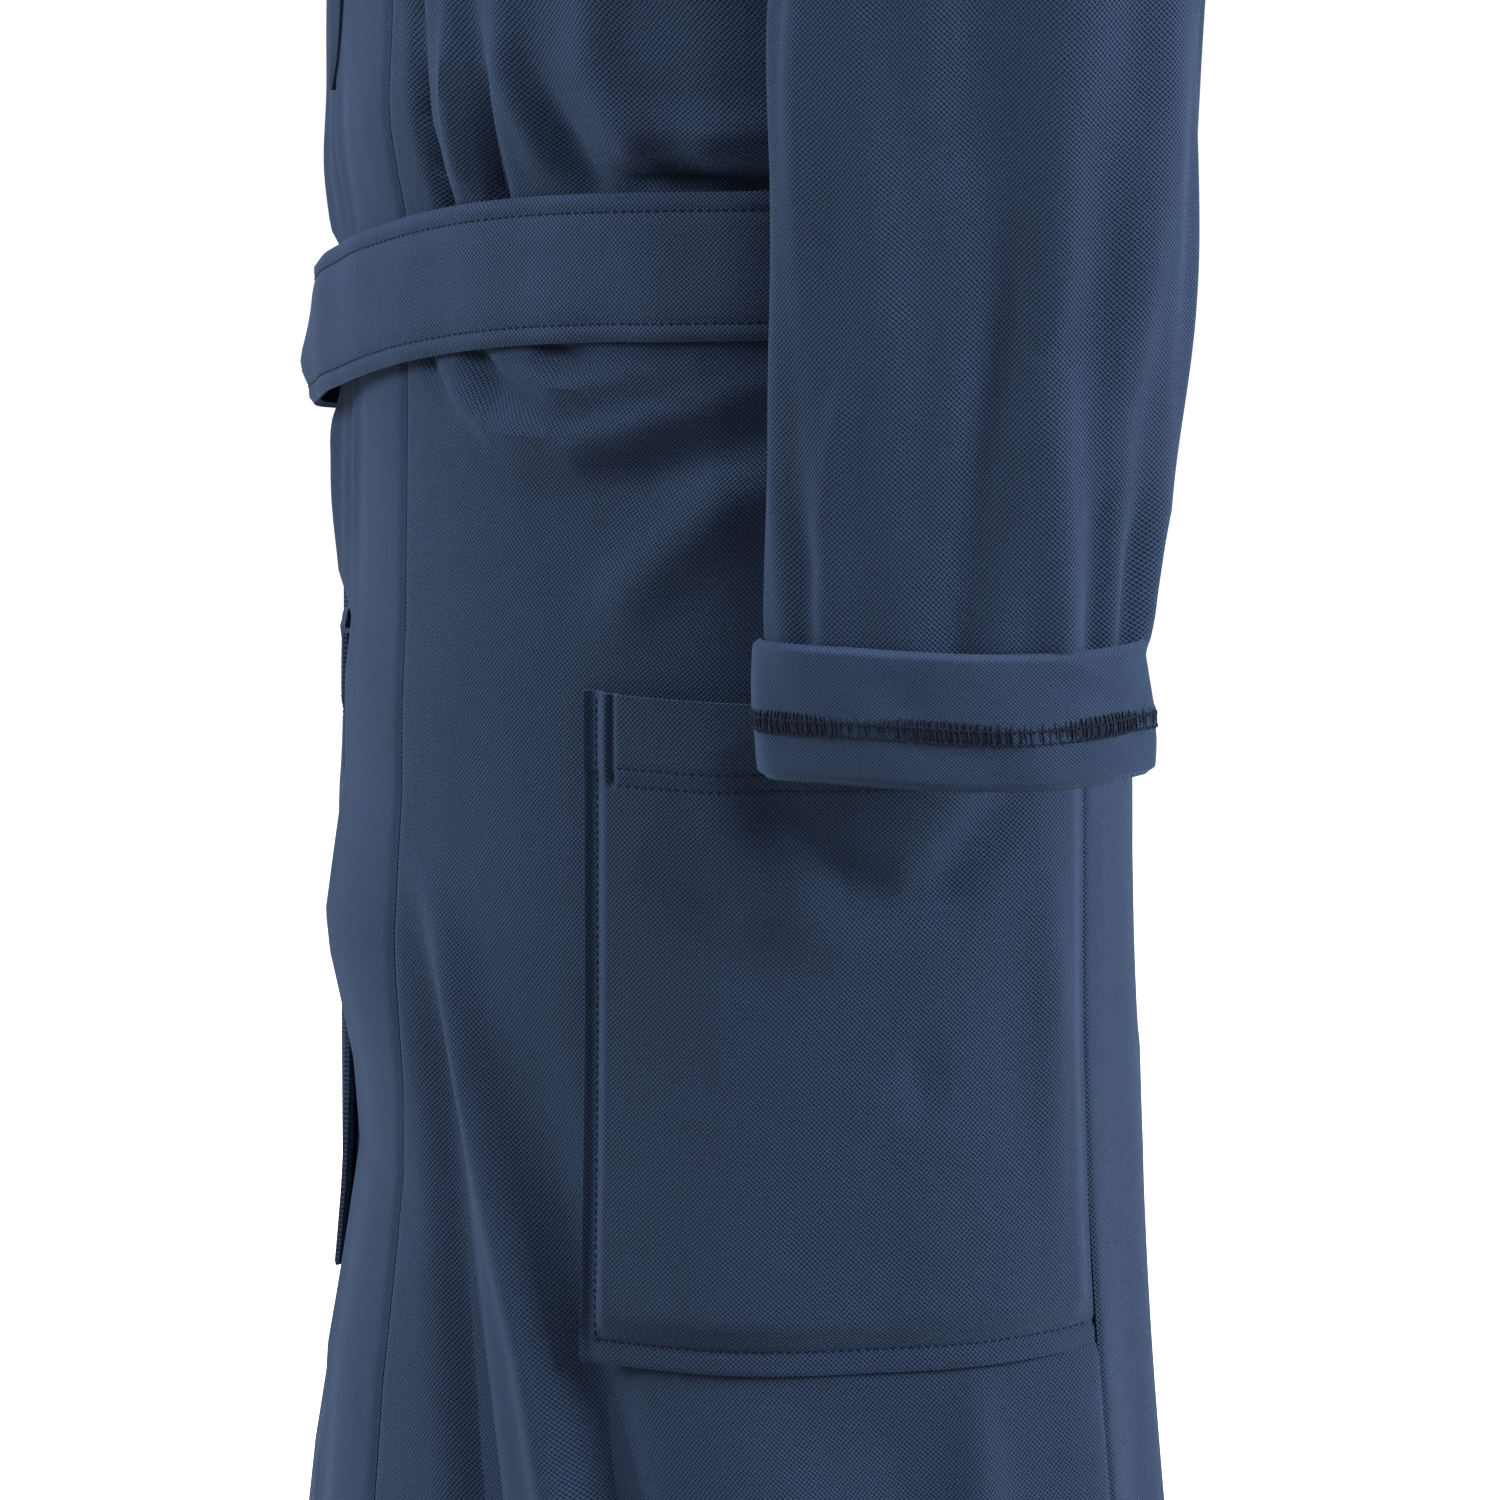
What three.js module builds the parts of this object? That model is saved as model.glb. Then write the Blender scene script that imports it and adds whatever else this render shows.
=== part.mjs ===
// A wrap bathrobe in pique knit, shown as worn with its belt tied: shawl collar, turned-up cuffs,
// two patch pockets. Millimetres. +X is the wearer's left, -Y the front, +Z up. Heights are given
// as drops below the neck point, where the shoulder seam meets the collar. The origin is the place
// inside the hanger loop where a hook bears.
import * as THREE from 'three';
import { mergeVertices } from 'three/addons/utils/BufferGeometryUtils.js';

// Cloth and clearances
const cloth = 3;            // pique with its turned seam allowances
const strapThick = 4;       // belt, two layers of pique
const seamGap = 0.4;        // between pieces that are sewn edge to edge
const layerGap = 1;         // between one layer of cloth and the next

// Lengths down the body, as drops below the neck point
const hemDrop = 1130;
const hipDrop = 680;
const waistDrop = 440;      // middle of the belt at the wearer's left side
const blouseDrop = 370;     // where the cloth blouses out above the belt
const underarmDrop = 245;
const chestDrop = 170;      // where the shoulders start to close in
const shoulderDrop = 45;    // shoulder point below the neck point
const lapelDrop = 355;      // where the collar starts to turn out
const underLapelDrop = 255; // the same on the right front, under the left one

// Half widths from side to side and half depths from front to back
const hem = { wide: 208, deep: 165 };
const hip = { wide: 161, deep: 126 };
const waist = { wide: 157, deep: 123 };
const blouse = { wide: 162, deep: 127 };
const underarm = { wide: 172.5, deep: 128 };
const chest = { wide: 186, deep: 124 };
const shoulderWide = 200;
const ridgeDeep = cloth + seamGap / 2;
const neck = { wide: 72, deep: 48 };
const flarePower = 1.6;

// Angles round the body in degrees: 0 is the wearer's left side, -90 the middle of the front
const sideSeam = 13.6;
const seamSwing = 8.6; // below the belt the side seams swing this many degrees forward
const seamSwingStart = 490;
const seamSwingTall = 110;
const frontEdge = -122;
const bandSeam = -102;
const armholeAngle = 28;
const armholeTopAngle = 11.5;
const armholeTurn = 60;     // height over which the side seam opens into the armhole
const overlapStart = -30;   // the left front starts to lie out here
const overlapTurn = 24;     // and is fully out this many degrees further on
const overlapGap = 2.5;     // room between the fronts where they overlap
const overlapRise = 2 * cloth + overlapGap; // the left front lies this far out over the right one
const overlapTop = 50;      // the overlap starts this far below the neck point
const overlapFade = 80;     // and is fully out this much lower
const bandTopWide = 58;

// Collar
const leafWide = 75;
const leafDeep = 59;
const rollSide = 9;         // how far the roll stands above the neck seam at the shoulder
const rollBack = 26;        // and at the centre back
const collarGap = 2.2;      // from the cloth under it to the turned collar
const rollWide = 0.35;      // share of the collar's width that rolls up at the neck
const rollFrom = 0.55;      // share of the front part at which the roll starts to rise
const lapelTip = 4;         // width of the collar where it turns out of the front edge
const lapelSpread = 1.15;   // how soon the lapel reaches its full width
const lapelSoft = 0.06;     // how softly the front edge turns in under the lapel

// Sleeves, cuffs and their overlocked seam
const sleeveTurn = 46;      // the flattened sleeve faces this many degrees from the front
const cuffDrop = 601.5;
const cuffTall = 43.5;
const cuffEase = 0.8;
const overlockRise = 15;
const overlockTall = 8.5;
const overlockThick = 1.4;
const sleeveRaise = 0.6;    // the sleeve head stands this far outside the armhole edge
const underarmRaise = 3;    // and this much more at the underarm

// Pockets
const pocketDrop = 586;
const pocketTall = 233;
const pocketFront = -69.5;
const pocketBack = sideSeam - seamSwing - 1;
const pocketBulge = 8;
const pocketCloth = 2.5;
const pocketEdge = 0.07;    // share of the width over which the pocket comes down to the front

// Belt
const beltTall = 50;
const beltSag = 53;
const knotAngle = -180;
const sagAngle = -172;
const sagFront = 132;
const sagBack = 44;
const sagPower = 1.3;
const beltStep = 165;       // past the free front edge the belt comes down to the right front by this angle
const beltStepTurn = 42;    // over this many degrees
const knot = { thick: 34, along: 48, tall: 44 };
const longEnd = 370;
const shortEnd = 310;
const endNeck = 12;         // radius of the gathered top of a hanging end
const endGather = 70;
const endGap = 2;

// Belt loops and hanger loop
const loopSpare = 42;       // a loop is this much longer than the belt is tall
const loopTall = beltTall + loopSpare;
const loopWide = 10;
const loopThick = 1.5;
const loopDrop = 451;
const loopFoot = 6;         // height over which a loop rises from its sewn end
const hanger = { wide: 70, high: 26, tape: 8, thick: 1.6 };
const neckTapeTall = 14;
const tapeGap = 1.7;
const tapeFrom = 75;
const tapeThick = 1.2;
const tapeTop = 0.012;      // share of the shoulder's closing between the tape and the neck edge
const tapeSlope = 1.2;      // length along the sloping back for a length straight down
const loopEase = 1;         // room between a belt loop and the belt
const hangerSewn = 2;       // the loop's feet reach this far down the tape

const pique = new THREE.MeshStandardMaterial({ color: 0x3c4c66, roughness: 0.95, metalness: 0 });
const piqueBand = new THREE.MeshStandardMaterial({ color: 0x42536f, roughness: 0.92, metalness: 0 });
const thread = new THREE.MeshStandardMaterial({ color: 0x222c3f, roughness: 0.8, metalness: 0 });
const tape = new THREE.MeshStandardMaterial({ color: 0x34435b, roughness: 0.85, metalness: 0 });

const radians = THREE.MathUtils.degToRad;
const mix = THREE.MathUtils.lerp;
const ease = (k) => THREE.MathUtils.smoothstep(k, 0, 1);
const robe = new THREE.Group();

function addPiece(name, geometry, material) {
  const mesh = new THREE.Mesh(geometry, material);
  mesh.name = name;
  robe.add(mesh);
  return mesh;
}

// A thin closed shell between two surfaces, each a function of (across, up), both from 0 to 1.
// A round shell closes on itself across. Its faces are turned outwards at the end.
function shell(columns, rows, outside, inside, round = false) {
  const points = [];
  const faces = [];
  const across = round ? columns : columns + 1;
  for (const surface of [outside, inside]) {
    for (let j = 0; j <= rows; j++) {
      for (let i = 0; i < across; i++) points.push(...surface(i / columns, j / rows));
    }
  }
  const half = across * (rows + 1);
  const at = (layer, i, j) => layer * half + j * across + (i % across);
  const quad = (a, b, c, d) => faces.push(a, b, c, a, c, d);
  for (let i = 0; i < columns; i++) {
    for (let j = 0; j < rows; j++) {
      quad(at(0, i, j), at(0, i + 1, j), at(0, i + 1, j + 1), at(0, i, j + 1));
      quad(at(1, i, j), at(1, i, j + 1), at(1, i + 1, j + 1), at(1, i + 1, j));
    }
    quad(at(1, i, 0), at(1, i + 1, 0), at(0, i + 1, 0), at(0, i, 0));
    quad(at(0, i, rows), at(0, i + 1, rows), at(1, i + 1, rows), at(1, i, rows));
  }
  if (!round) {
    for (let j = 0; j < rows; j++) {
      quad(at(0, 0, j), at(0, 0, j + 1), at(1, 0, j + 1), at(1, 0, j));
      quad(at(1, columns, j), at(1, columns, j + 1), at(0, columns, j + 1), at(0, columns, j));
    }
  }
  return outward(points, faces);
}

function outward(points, faces) {
  const p = (k) => new THREE.Vector3().fromArray(points, 3 * k);
  let volume = 0;
  for (let f = 0; f < faces.length; f += 3) {
    volume += p(faces[f]).dot(p(faces[f + 1]).cross(p(faces[f + 2])));
  }
  if (volume < 0) faces.reverse();
  const geometry = new THREE.BufferGeometry();
  geometry.setAttribute('position', new THREE.Float32BufferAttribute(points, 3));
  geometry.setIndex(faces);
  return geometry;
}

// Three.js solids with their split vertices joined again
function welded(geometry) {
  geometry.deleteAttribute('normal');
  geometry.deleteAttribute('uv');
  return mergeVertices(geometry, 1e-4);
}

// ---- The body form that the cloth hangs on ----

const formRows = [
  { drop: chestDrop, ...chest },
  { drop: underarmDrop, ...underarm },
  { drop: blouseDrop, ...blouse },
  { drop: waistDrop, ...waist },
  { drop: hipDrop, ...hip },
];

function formHalf(drop) {
  if (drop >= hipDrop) {
    const k = ((drop - hipDrop) / (hemDrop - hipDrop)) ** flarePower;
    return { wide: mix(hip.wide, hem.wide, k), deep: mix(hip.deep, hem.deep, k) };
  }
  const next = Math.max(1, formRows.findIndex((row) => row.drop >= drop));
  const [a, b] = [formRows[next - 1], formRows[next]];
  const k = ease((drop - a.drop) / (b.drop - a.drop));
  return { wide: mix(a.wide, b.wide, k), deep: mix(a.deep, b.deep, k) };
}

// How far the shoulders have closed in, from 0 at the chest to 1 on the shoulder seam
const closing = (drop) => Math.max(0, 1 - drop / chestDrop);
const closingSine = (drop) => Math.sin(closing(drop) * Math.PI / 2);
const trueDrop = (drop) => (drop >= chestDrop ? drop : chestDrop * (1 - closingSine(drop)));

function sectionHalf(drop) {
  if (drop >= chestDrop) return formHalf(drop);
  const sine = closingSine(drop);
  const cosine = Math.cos(closing(drop) * Math.PI / 2);
  return { wide: mix(chest.wide, shoulderWide, sine), deep: mix(ridgeDeep, chest.deep, cosine) };
}

function ridgeHeight(x) {
  const k = (Math.abs(x) - neck.wide) / (shoulderWide - neck.wide);
  return -shoulderDrop * Math.max(0, k);
}

// A point of the form at an angle in degrees and a drop, moved outwards by rise
function form(angle, drop, rise = 0) {
  const half = sectionHalf(drop);
  const sine = closingSine(drop);
  const x = (half.wide + rise) * Math.cos(radians(angle));
  const y = (half.deep + rise) * Math.sin(radians(angle));
  if (drop >= chestDrop) return [x, y, -drop];
  return [x, y, mix(-chestDrop, ridgeHeight(x) + rise, sine)];
}

// Angle on the wearer's front where the form is at x
const frontAngle = (x, drop) => {
  const share = THREE.MathUtils.clamp(x / sectionHalf(drop).wide, -1, 1);
  return -THREE.MathUtils.radToDeg(Math.acos(share));
};

// ---- Lines that pieces share ----

// A line down the front: upright below the lapel, slanting to topX at the neck above it
function frontLine(drop, angle, topX) {
  const fall = trueDrop(drop);
  if (fall >= lapelDrop) return angle;
  const startX = formHalf(lapelDrop).wide * Math.cos(radians(angle));
  const rising = 1 - fall / lapelDrop;
  const k = rising * rising / (rising + lapelSoft) * (1 + lapelSoft);
  return frontAngle(mix(startX, topX, k), drop);
}
const edgeLine = (drop) => frontLine(drop, frontEdge, neck.wide);
const bandLine = (drop) => frontLine(drop, bandSeam, neck.wide + bandTopWide);

// Side seam, opening into the front (-1) or the back (1) edge of the armhole
function sideLine(drop, face) {
  const open = ease((underarmDrop - drop) / armholeTurn);
  const narrowing = Math.max(0, 1 - drop / (underarmDrop - armholeTurn));
  const closed = sideSeam - seamSwing * ease((drop - seamSwingStart) / seamSwingTall);
  return mix(closed, face * mix(armholeAngle, armholeTopAngle, narrowing), open);
}

// How far out the left front lies at an angle, to cover the right front and its collar
function coverRise(angle, drop) {
  return overlapRise * ease((trueDrop(drop) - overlapTop) / overlapFade)
    * ease((overlapStart - angle) / overlapTurn);
}

// Height rows of a whole-length panel, from the hem up to the shoulder seam
const steps = (from, to, count) => Array.from({ length: count }, (_, n) => mix(from, to, n / count));
const armholeRows = [...steps(underarmDrop, chestDrop, 4), ...steps(chestDrop, 0, 6), 0];
const rows = [
  ...steps(hemDrop, hipDrop, 5), ...steps(hipDrop, waistDrop, 4), ...steps(waistDrop, blouseDrop, 2),
  ...steps(blouseDrop, underarmDrop, 2), ...armholeRows,
];
const lastRow = rows.length - 1;
const dropAt = (up) => rows[Math.round(up * lastRow)];

const gapAngle = (drop) => THREE.MathUtils.radToDeg(seamGap / 2 / sectionHalf(drop).deep);

function mirrored([x, y, z]) { return [-x, y, z]; }
function turnedRound([x, y, z]) { return [-x, -y, z]; }

// ---- Back ----

// Share of the shoulder closing at which the back panel meets the neck opening
function backTop(angle) {
  let low = 0.3;
  let high = 1;
  const outsideNeck = (closed) => {
    const [x, y] = form(angle, chestDrop * (1 - closed));
    return (x / neck.wide) ** 2 + (y / neck.deep) ** 2 > 1;
  };
  if (outsideNeck(high)) return 1;
  for (let n = 0; n < 30; n++) {
    const middle = (low + high) / 2;
    if (outsideNeck(middle)) low = middle; else high = middle;
  }
  return low;
}

function backPoint(across, up, rise) {
  const drop = dropAt(up);
  const side = sideLine(drop, 1) + gapAngle(drop);
  const angle = mix(side, 180 - side, across);
  return form(angle, drop >= chestDrop ? drop : chestDrop * (1 - closing(drop) * backTop(angle)), rise);
}
addPiece('back_panel', shell(20, lastRow, (u, v) => backPoint(u, v, 0), (u, v) => backPoint(u, v, -cloth)), pique);

// ---- Fronts and their bands ----

function frontPoint(across, up, layer, covers) {
  const drop = dropAt(up);
  const side = sideLine(drop, -1) - gapAngle(drop);
  const angle = mix(side, bandLine(drop) + gapAngle(drop), across);
  return form(angle, drop, layer + (covers ? coverRise(angle, drop) : 0));
}

function bandPoint(across, up, layer, covers) {
  const drop = dropAt(up);
  const angle = mix(bandLine(drop) - gapAngle(drop), edgeLine(drop), across);
  return form(angle, drop, layer + (covers ? coverRise(angle, drop) : 0));
}

for (const side of ['left', 'right']) {
  const covers = side === 'left';
  const place = covers ? (point) => point : mirrored;
  addPiece(`${side}_front_panel`, shell(12, lastRow,
    (u, v) => place(frontPoint(u, v, 0, covers)),
    (u, v) => place(frontPoint(u, v, -cloth, covers))), pique);
  addPiece(`${side}_front_band`, shell(3, lastRow,
    (u, v) => place(bandPoint(u, v, 0, covers)),
    (u, v) => place(bandPoint(u, v, -cloth, covers))), piqueBand);
}

// ---- Shawl collar, two leaves that meet at the centre back ----

const frontShare = 0.62;

function closingAt(x, y) {
  let low = 0;
  let high = 1;
  for (let n = 0; n < 30; n++) {
    const middle = (low + high) / 2;
    const half = sectionHalf(chestDrop * (1 - middle));
    if ((x / half.wide) ** 2 + (y / half.deep) ** 2 > 1) high = middle; else low = middle;
  }
  return low;
}

function leafPoint(along, out, layer, start, covers) {
  const fold = Math.max(0, 1 - out / rollWide) ** 2;
  if (along <= frontShare) {
    const k = along / frontShare;
    const drop = mix(start, 0, k);
    const rising = 1 - trueDrop(drop) / start;
    const wide = mix(lapelTip, leafWide, ease(rising * lapelSpread));
    const half = sectionHalf(drop);
    const edgeX = half.wide * Math.cos(radians(edgeLine(drop)));
    const angle = frontAngle(edgeX + out * wide, drop);
    const cover = covers ? coverRise(angle, drop) : 0;
    const [x, y, z] = form(angle, drop, layer + (covers ? collarGap : layerGap) + cover);
    return [x, y, z + fold * rollSide * ease((k - rollFrom) / (1 - rollFrom))];
  }
  const turn = (along - frontShare) / (1 - frontShare) * Math.PI / 2;
  const x = (neck.wide + out * leafWide) * Math.cos(turn) + seamGap / 2;
  const y = ridgeDeep + (neck.deep - ridgeDeep + out * leafDeep) * Math.sin(turn);
  const closed = closingAt(x, y);
  const half = sectionHalf(chestDrop * (1 - closed));
  const angle = THREE.MathUtils.radToDeg(Math.atan2(y / half.deep, x / half.wide));
  const [px, py, pz] = form(angle, chestDrop * (1 - closed), layer + collarGap);
  return [Math.max(px, seamGap / 2), py, pz + fold * mix(rollSide, rollBack, Math.sin(turn))];
}

for (const side of ['left', 'right']) {
  const covers = side === 'left';
  const place = covers ? (point) => point : mirrored;
  const start = covers ? lapelDrop : underLapelDrop;
  addPiece(`${side}_collar`, shell(21, 4,
    (u, v) => place(leafPoint(u, v, cloth, start, covers)),
    (u, v) => place(leafPoint(u, v, 0, start, covers))), piqueBand);
}

// ---- Sleeves: the left one hangs forward and the right one back, as the arms swing ----

// Sections down the left sleeve: middle, the way from the middle to the outer side, to the front
function sleeveSections() {
  const out = new THREE.Vector3(Math.sin(radians(sleeveTurn)), -Math.cos(radians(sleeveTurn)), 0);
  const forward = new THREE.Vector3(-Math.cos(radians(sleeveTurn)), -Math.sin(radians(sleeveTurn)), 0);
  const level = (x, y, drop, thick, wide) => ({
    middle: new THREE.Vector3(x, y, -drop),
    out: out.clone().multiplyScalar(thick),
    front: forward.clone().multiplyScalar(wide),
  });
  const fan = (x, y, drop, o, f) => ({
    middle: new THREE.Vector3(x, y, -drop), out: new THREE.Vector3(...o), front: new THREE.Vector3(...f),
  });
  return [
    fan(206, -6, 179, [22, -3, 81], [-4, -62, -6]),
    fan(213, -22, 215, [30, -9, 52], [-14, -62, -10]),
    fan(208, -48, 278, [32, -22, 20], [-32, -60, -4]),
    level(200, -75, 335, 35, 71),
    level(199, -81, 440, 34, 69),
    level(197, -87, cuffDrop - cuffTall - 45, 32, 64),
    level(196, -90, cuffDrop, 31, 60.5),
  ];
}
const sections = sleeveSections();

// The armhole edge of the body as a closed line, from the underarm up the front and down the back
function armhole(turn, layer) {
  const face = turn <= 0.5 ? -1 : 1;
  const climb = turn <= 0.5 ? turn * 2 : (1 - turn) * 2;
  const drop = armholeRows[Math.round(climb * (armholeRows.length - 1))];
  const [x, y, z] = form(sideLine(drop, face), drop, 0);
  const inward = layer / (sections[1].front.length());
  const raise = sleeveRaise + underarmRaise * (1 - climb) ** 2;
  return [x + raise, y * (1 - inward), z + (inward * 0.5) * (-z - underarmDrop / 2)];
}

function ringPoint(section, turn, layer) {
  const a = turn * 2 * Math.PI;
  const outLength = section.out.length() - layer;
  const frontLength = section.front.length() - layer;
  return section.middle.clone()
    .addScaledVector(section.out.clone().normalize(), -Math.cos(a) * outLength)
    .addScaledVector(section.front.clone().normalize(), Math.sin(a) * frontLength);
}

// A point of a sleeve: ring 0 at the armhole to the last one at the cuff's fold. The right sleeve
// is the left one turned half round, on the armhole of its own side.
function sleevePoint(side, turn, ring, layer) {
  if (ring > 0) {
    const point = ringPoint(sections[ring - 1], turn, layer).toArray();
    return side === 'left' ? point : turnedRound(point);
  }
  return side === 'left' ? armhole(turn, layer) : mirrored(armhole(1 - turn, layer));
}

// A point of the cuff at a height above its fold, its rings level with the sleeve's end
function cuffPoint(turn, height, rise) {
  const end = sections[sections.length - 1];
  const above = sections[sections.length - 2];
  const k = height / (end.middle.z < above.middle.z ? above.middle.z - end.middle.z : 1);
  const a = ringPoint(end, turn, -rise);
  const b = ringPoint(above, turn, -rise);
  return a.lerp(b, k).toArray();
}

const sleeveSides = 2 * (armholeRows.length - 1);
for (const side of ['left', 'right']) {
  const place = side === 'left' ? (point) => point : turnedRound;
  const rings = sections.length;
  addPiece(`${side}_sleeve`, shell(sleeveSides, rings,
    (u, v) => sleevePoint(side, u, Math.round(v * rings), 0),
    (u, v) => sleevePoint(side, u, Math.round(v * rings), cloth), true), pique);
  const cuffIn = cuffEase;
  const cuffOut = cuffEase + cloth;
  addPiece(`${side}_cuff`, shell(sleeveSides, 2,
    (u, v) => place(cuffPoint(u, v * cuffTall, cuffOut)),
    (u, v) => place(cuffPoint(u, v * cuffTall, cuffIn)), true), piqueBand);
  const seamAt = (u, v, rise) => place(cuffPoint(u, overlockRise + v * overlockTall, cuffOut + seamGap + rise));
  addPiece(`${side}_cuff_overlock`, shell(sleeveSides, 1,
    (u, v) => seamAt(u, v, overlockThick), (u, v) => seamAt(u, v, 0), true), thread);
}

// ---- Patch pockets ----

function pocketPoint(across, up, layer, covers) {
  const drop = pocketDrop + pocketTall * (1 - up);
  const angle = mix(pocketFront, pocketBack, across);
  const flat = covers ? 0 : (-180 - frontEdge - pocketFront + 2) / (pocketBack - pocketFront);
  const edge = Math.min(across - flat, 1 - across) / pocketEdge;
  const bulge = pocketBulge * ease(Math.min(edge, up / pocketEdge));
  const cover = covers ? coverRise(angle, drop) : 0;
  return form(angle, drop, layerGap + bulge + layer + cover);
}

for (const side of ['left', 'right']) {
  const covers = side === 'left';
  const place = covers ? (point) => point : mirrored;
  addPiece(`${side}_pocket`, shell(20, 8,
    (u, v) => place(pocketPoint(u, v, pocketCloth, covers)),
    (u, v) => place(pocketPoint(u, v, 0, covers))), pique);
}

// ---- Belt: waist part, knot and two hanging ends ----

// Angle from the wearer's left side seam round by the front to the same seam again
const roundAngle = (across) => sideSeam - 360 * across;

function beltMiddle(angle) {
  const away = angle - sagAngle;
  const share = Math.min(1, away > 0 ? away / sagFront : -away / sagBack);
  return waistDrop + beltSag * ((1 + Math.cos(Math.PI * share)) / 2) ** sagPower;
}

// What the belt lies on: the left front where there is one, sloping down past its free edge
function beltSeat(angle) {
  return overlapRise * ease((overlapStart - angle) / overlapTurn) * ease((angle + beltStep) / beltStepTurn);
}

function beltPoint(across, up, layer) {
  const angle = roundAngle(across);
  const drop = beltMiddle(angle) + beltTall * (0.5 - up);
  return form(angle, drop, beltSeat(angle) + layerGap + layer);
}
addPiece('belt_waist', shell(44, 2,
  (u, v) => beltPoint(u, v, strapThick), (u, v) => beltPoint(u, v, 0), true), pique);

const knotDrop = beltMiddle(knotAngle);
const knotX = -(formHalf(knotDrop).wide + layerGap + strapThick + seamGap + knot.thick / 2);
const knotBody = welded(new THREE.SphereGeometry(0.5, 16, 10));
knotBody.scale(knot.thick, knot.along, knot.tall);
addPiece('belt_knot', knotBody, pique).position.set(knotX, 0, -knotDrop);

// A hanging end: a round gathered top that turns in the knot, widening to the full belt
function hangingEnd(length) {
  const outline = new THREE.Shape();
  outline.absarc(0, 0, endNeck, 0, Math.PI, false);
  outline.bezierCurveTo(-endNeck, -endGather / 2, -beltTall / 2, -endGather / 2, -beltTall / 2, -endGather);
  outline.lineTo(-beltTall / 2, -length);
  outline.lineTo(beltTall / 2, -length);
  outline.lineTo(beltTall / 2, -endGather);
  outline.bezierCurveTo(beltTall / 2, -endGather / 2, endNeck, -endGather / 2, endNeck, 0);
  const body = new THREE.ExtrudeGeometry(outline, { depth: strapThick, bevelEnabled: false, curveSegments: 8 });
  body.rotateX(Math.PI / 2);
  body.rotateZ(Math.PI / 2);
  return welded(body);
}

// Height of the underside of the knot over the point (x, 0)
function knotFoot(x) {
  const share = (x - knotX) / (knot.thick / 2);
  return -knotDrop - knot.tall / 2 * Math.sqrt(1 - share * share);
}

const endDrop = knotDrop + knot.tall / 2 + longEnd;
const pocketOut = formHalf(pocketDrop + pocketTall).wide + layerGap + pocketBulge + pocketCloth;
const endInner = -(Math.max(pocketOut, formHalf(endDrop).wide) + endGap);
const endOuter = endInner - strapThick - endGap;
for (const [name, length, x] of [['belt_long_end', longEnd, endInner], ['belt_short_end', shortEnd, endOuter]]) {
  const top = Math.min(knotFoot(x), knotFoot(x - strapThick));
  const end = addPiece(name, hangingEnd(length), pique);
  end.position.set(x - strapThick, 0, top - seamGap - endNeck);
}

// ---- Belt loops on the side seams ----

function beltLoop() {
  const reach = layerGap + strapThick + seamGap + loopThick + loopEase;
  const half = loopTall / 2;
  const outline = new THREE.Shape();
  outline.moveTo(seamGap, -half);
  outline.lineTo(seamGap + loopThick, -half);
  outline.lineTo(reach + loopThick, -half + loopFoot);
  outline.lineTo(reach + loopThick, half - loopFoot);
  outline.lineTo(seamGap + loopThick, half);
  outline.lineTo(seamGap, half);
  outline.lineTo(reach, half - loopFoot - loopThick);
  outline.lineTo(reach, -half + loopFoot + loopThick);
  outline.closePath();
  const body = new THREE.ExtrudeGeometry(outline, { depth: loopWide, bevelEnabled: false });
  body.translate(0, 0, -loopWide / 2);
  body.rotateX(Math.PI / 2);
  return welded(body);
}

for (const [name, angle] of [['left_belt_loop', sideSeam], ['right_belt_loop', 180 - sideSeam]]) {
  const half = formHalf(loopDrop);
  const top = new THREE.Vector3(...form(angle, loopDrop - loopTall / 2, seamGap));
  const bottom = new THREE.Vector3(...form(angle, loopDrop + loopTall / 2, seamGap));
  const normal = new THREE.Vector3(Math.cos(radians(angle)) / half.wide, Math.sin(radians(angle)) / half.deep, 0);
  const upward = top.clone().sub(bottom).normalize();
  const along = new THREE.Vector3().crossVectors(upward, normal).normalize();
  const out = new THREE.Vector3().crossVectors(along, upward);
  const loop = addPiece(name, beltLoop(), piqueBand);
  loop.position.copy(top.add(bottom).multiplyScalar(0.5));
  loop.quaternion.setFromRotationMatrix(new THREE.Matrix4().makeBasis(out, along, upward));
}

// ---- Neck tape and hanger loop inside the back neck ----

function tapePoint(across, up, layer) {
  const angle = mix(tapeFrom, 180 - tapeFrom, across);
  const top = backTop(angle);
  const closed = top - tapeTop - (1 - up) * neckTapeTall / chestDrop * tapeSlope;
  return form(angle, chestDrop * (1 - closed), -cloth - tapeGap - layer);
}
addPiece('neck_tape', shell(12, 2, (u, v) => tapePoint(u, v, 0), (u, v) => tapePoint(u, v, tapeThick)), tape);

function hangerArch() {
  const half = hanger.wide / 2;
  const outline = new THREE.Shape();
  outline.moveTo(-half, 0);
  outline.absellipse(0, 0, half, hanger.high, Math.PI, 0, true);
  outline.lineTo(half - hanger.thick, 0);
  outline.absellipse(0, 0, half - hanger.thick, hanger.high - hanger.thick, 0, Math.PI, false);
  outline.closePath();
  const body = new THREE.ExtrudeGeometry(outline, { depth: hanger.tape, bevelEnabled: false, curveSegments: 12 });
  body.rotateX(Math.PI / 2);
  return welded(body);
}
const tapeWide = sectionHalf(chestDrop * (1 - backTop(90))).wide;
const hangerAngle = THREE.MathUtils.radToDeg(Math.acos(hanger.wide / 2 / tapeWide));
const hangerSeat = tapePoint((hangerAngle - tapeFrom) / (180 - 2 * tapeFrom), 1, tapeThick);
const hangerFoot = hangerSeat[2] - hangerSewn;
const hangerBack = hangerSeat[1] - seamGap;
addPiece('hanger_loop', hangerArch(), tape).position.set(0, hangerBack, hangerFoot);

// The origin is inside the top of the hanger loop
robe.position.set(0, -(hangerBack - hanger.tape / 2), -(hangerFoot + hanger.high - hanger.thick));

export default robe;
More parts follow.
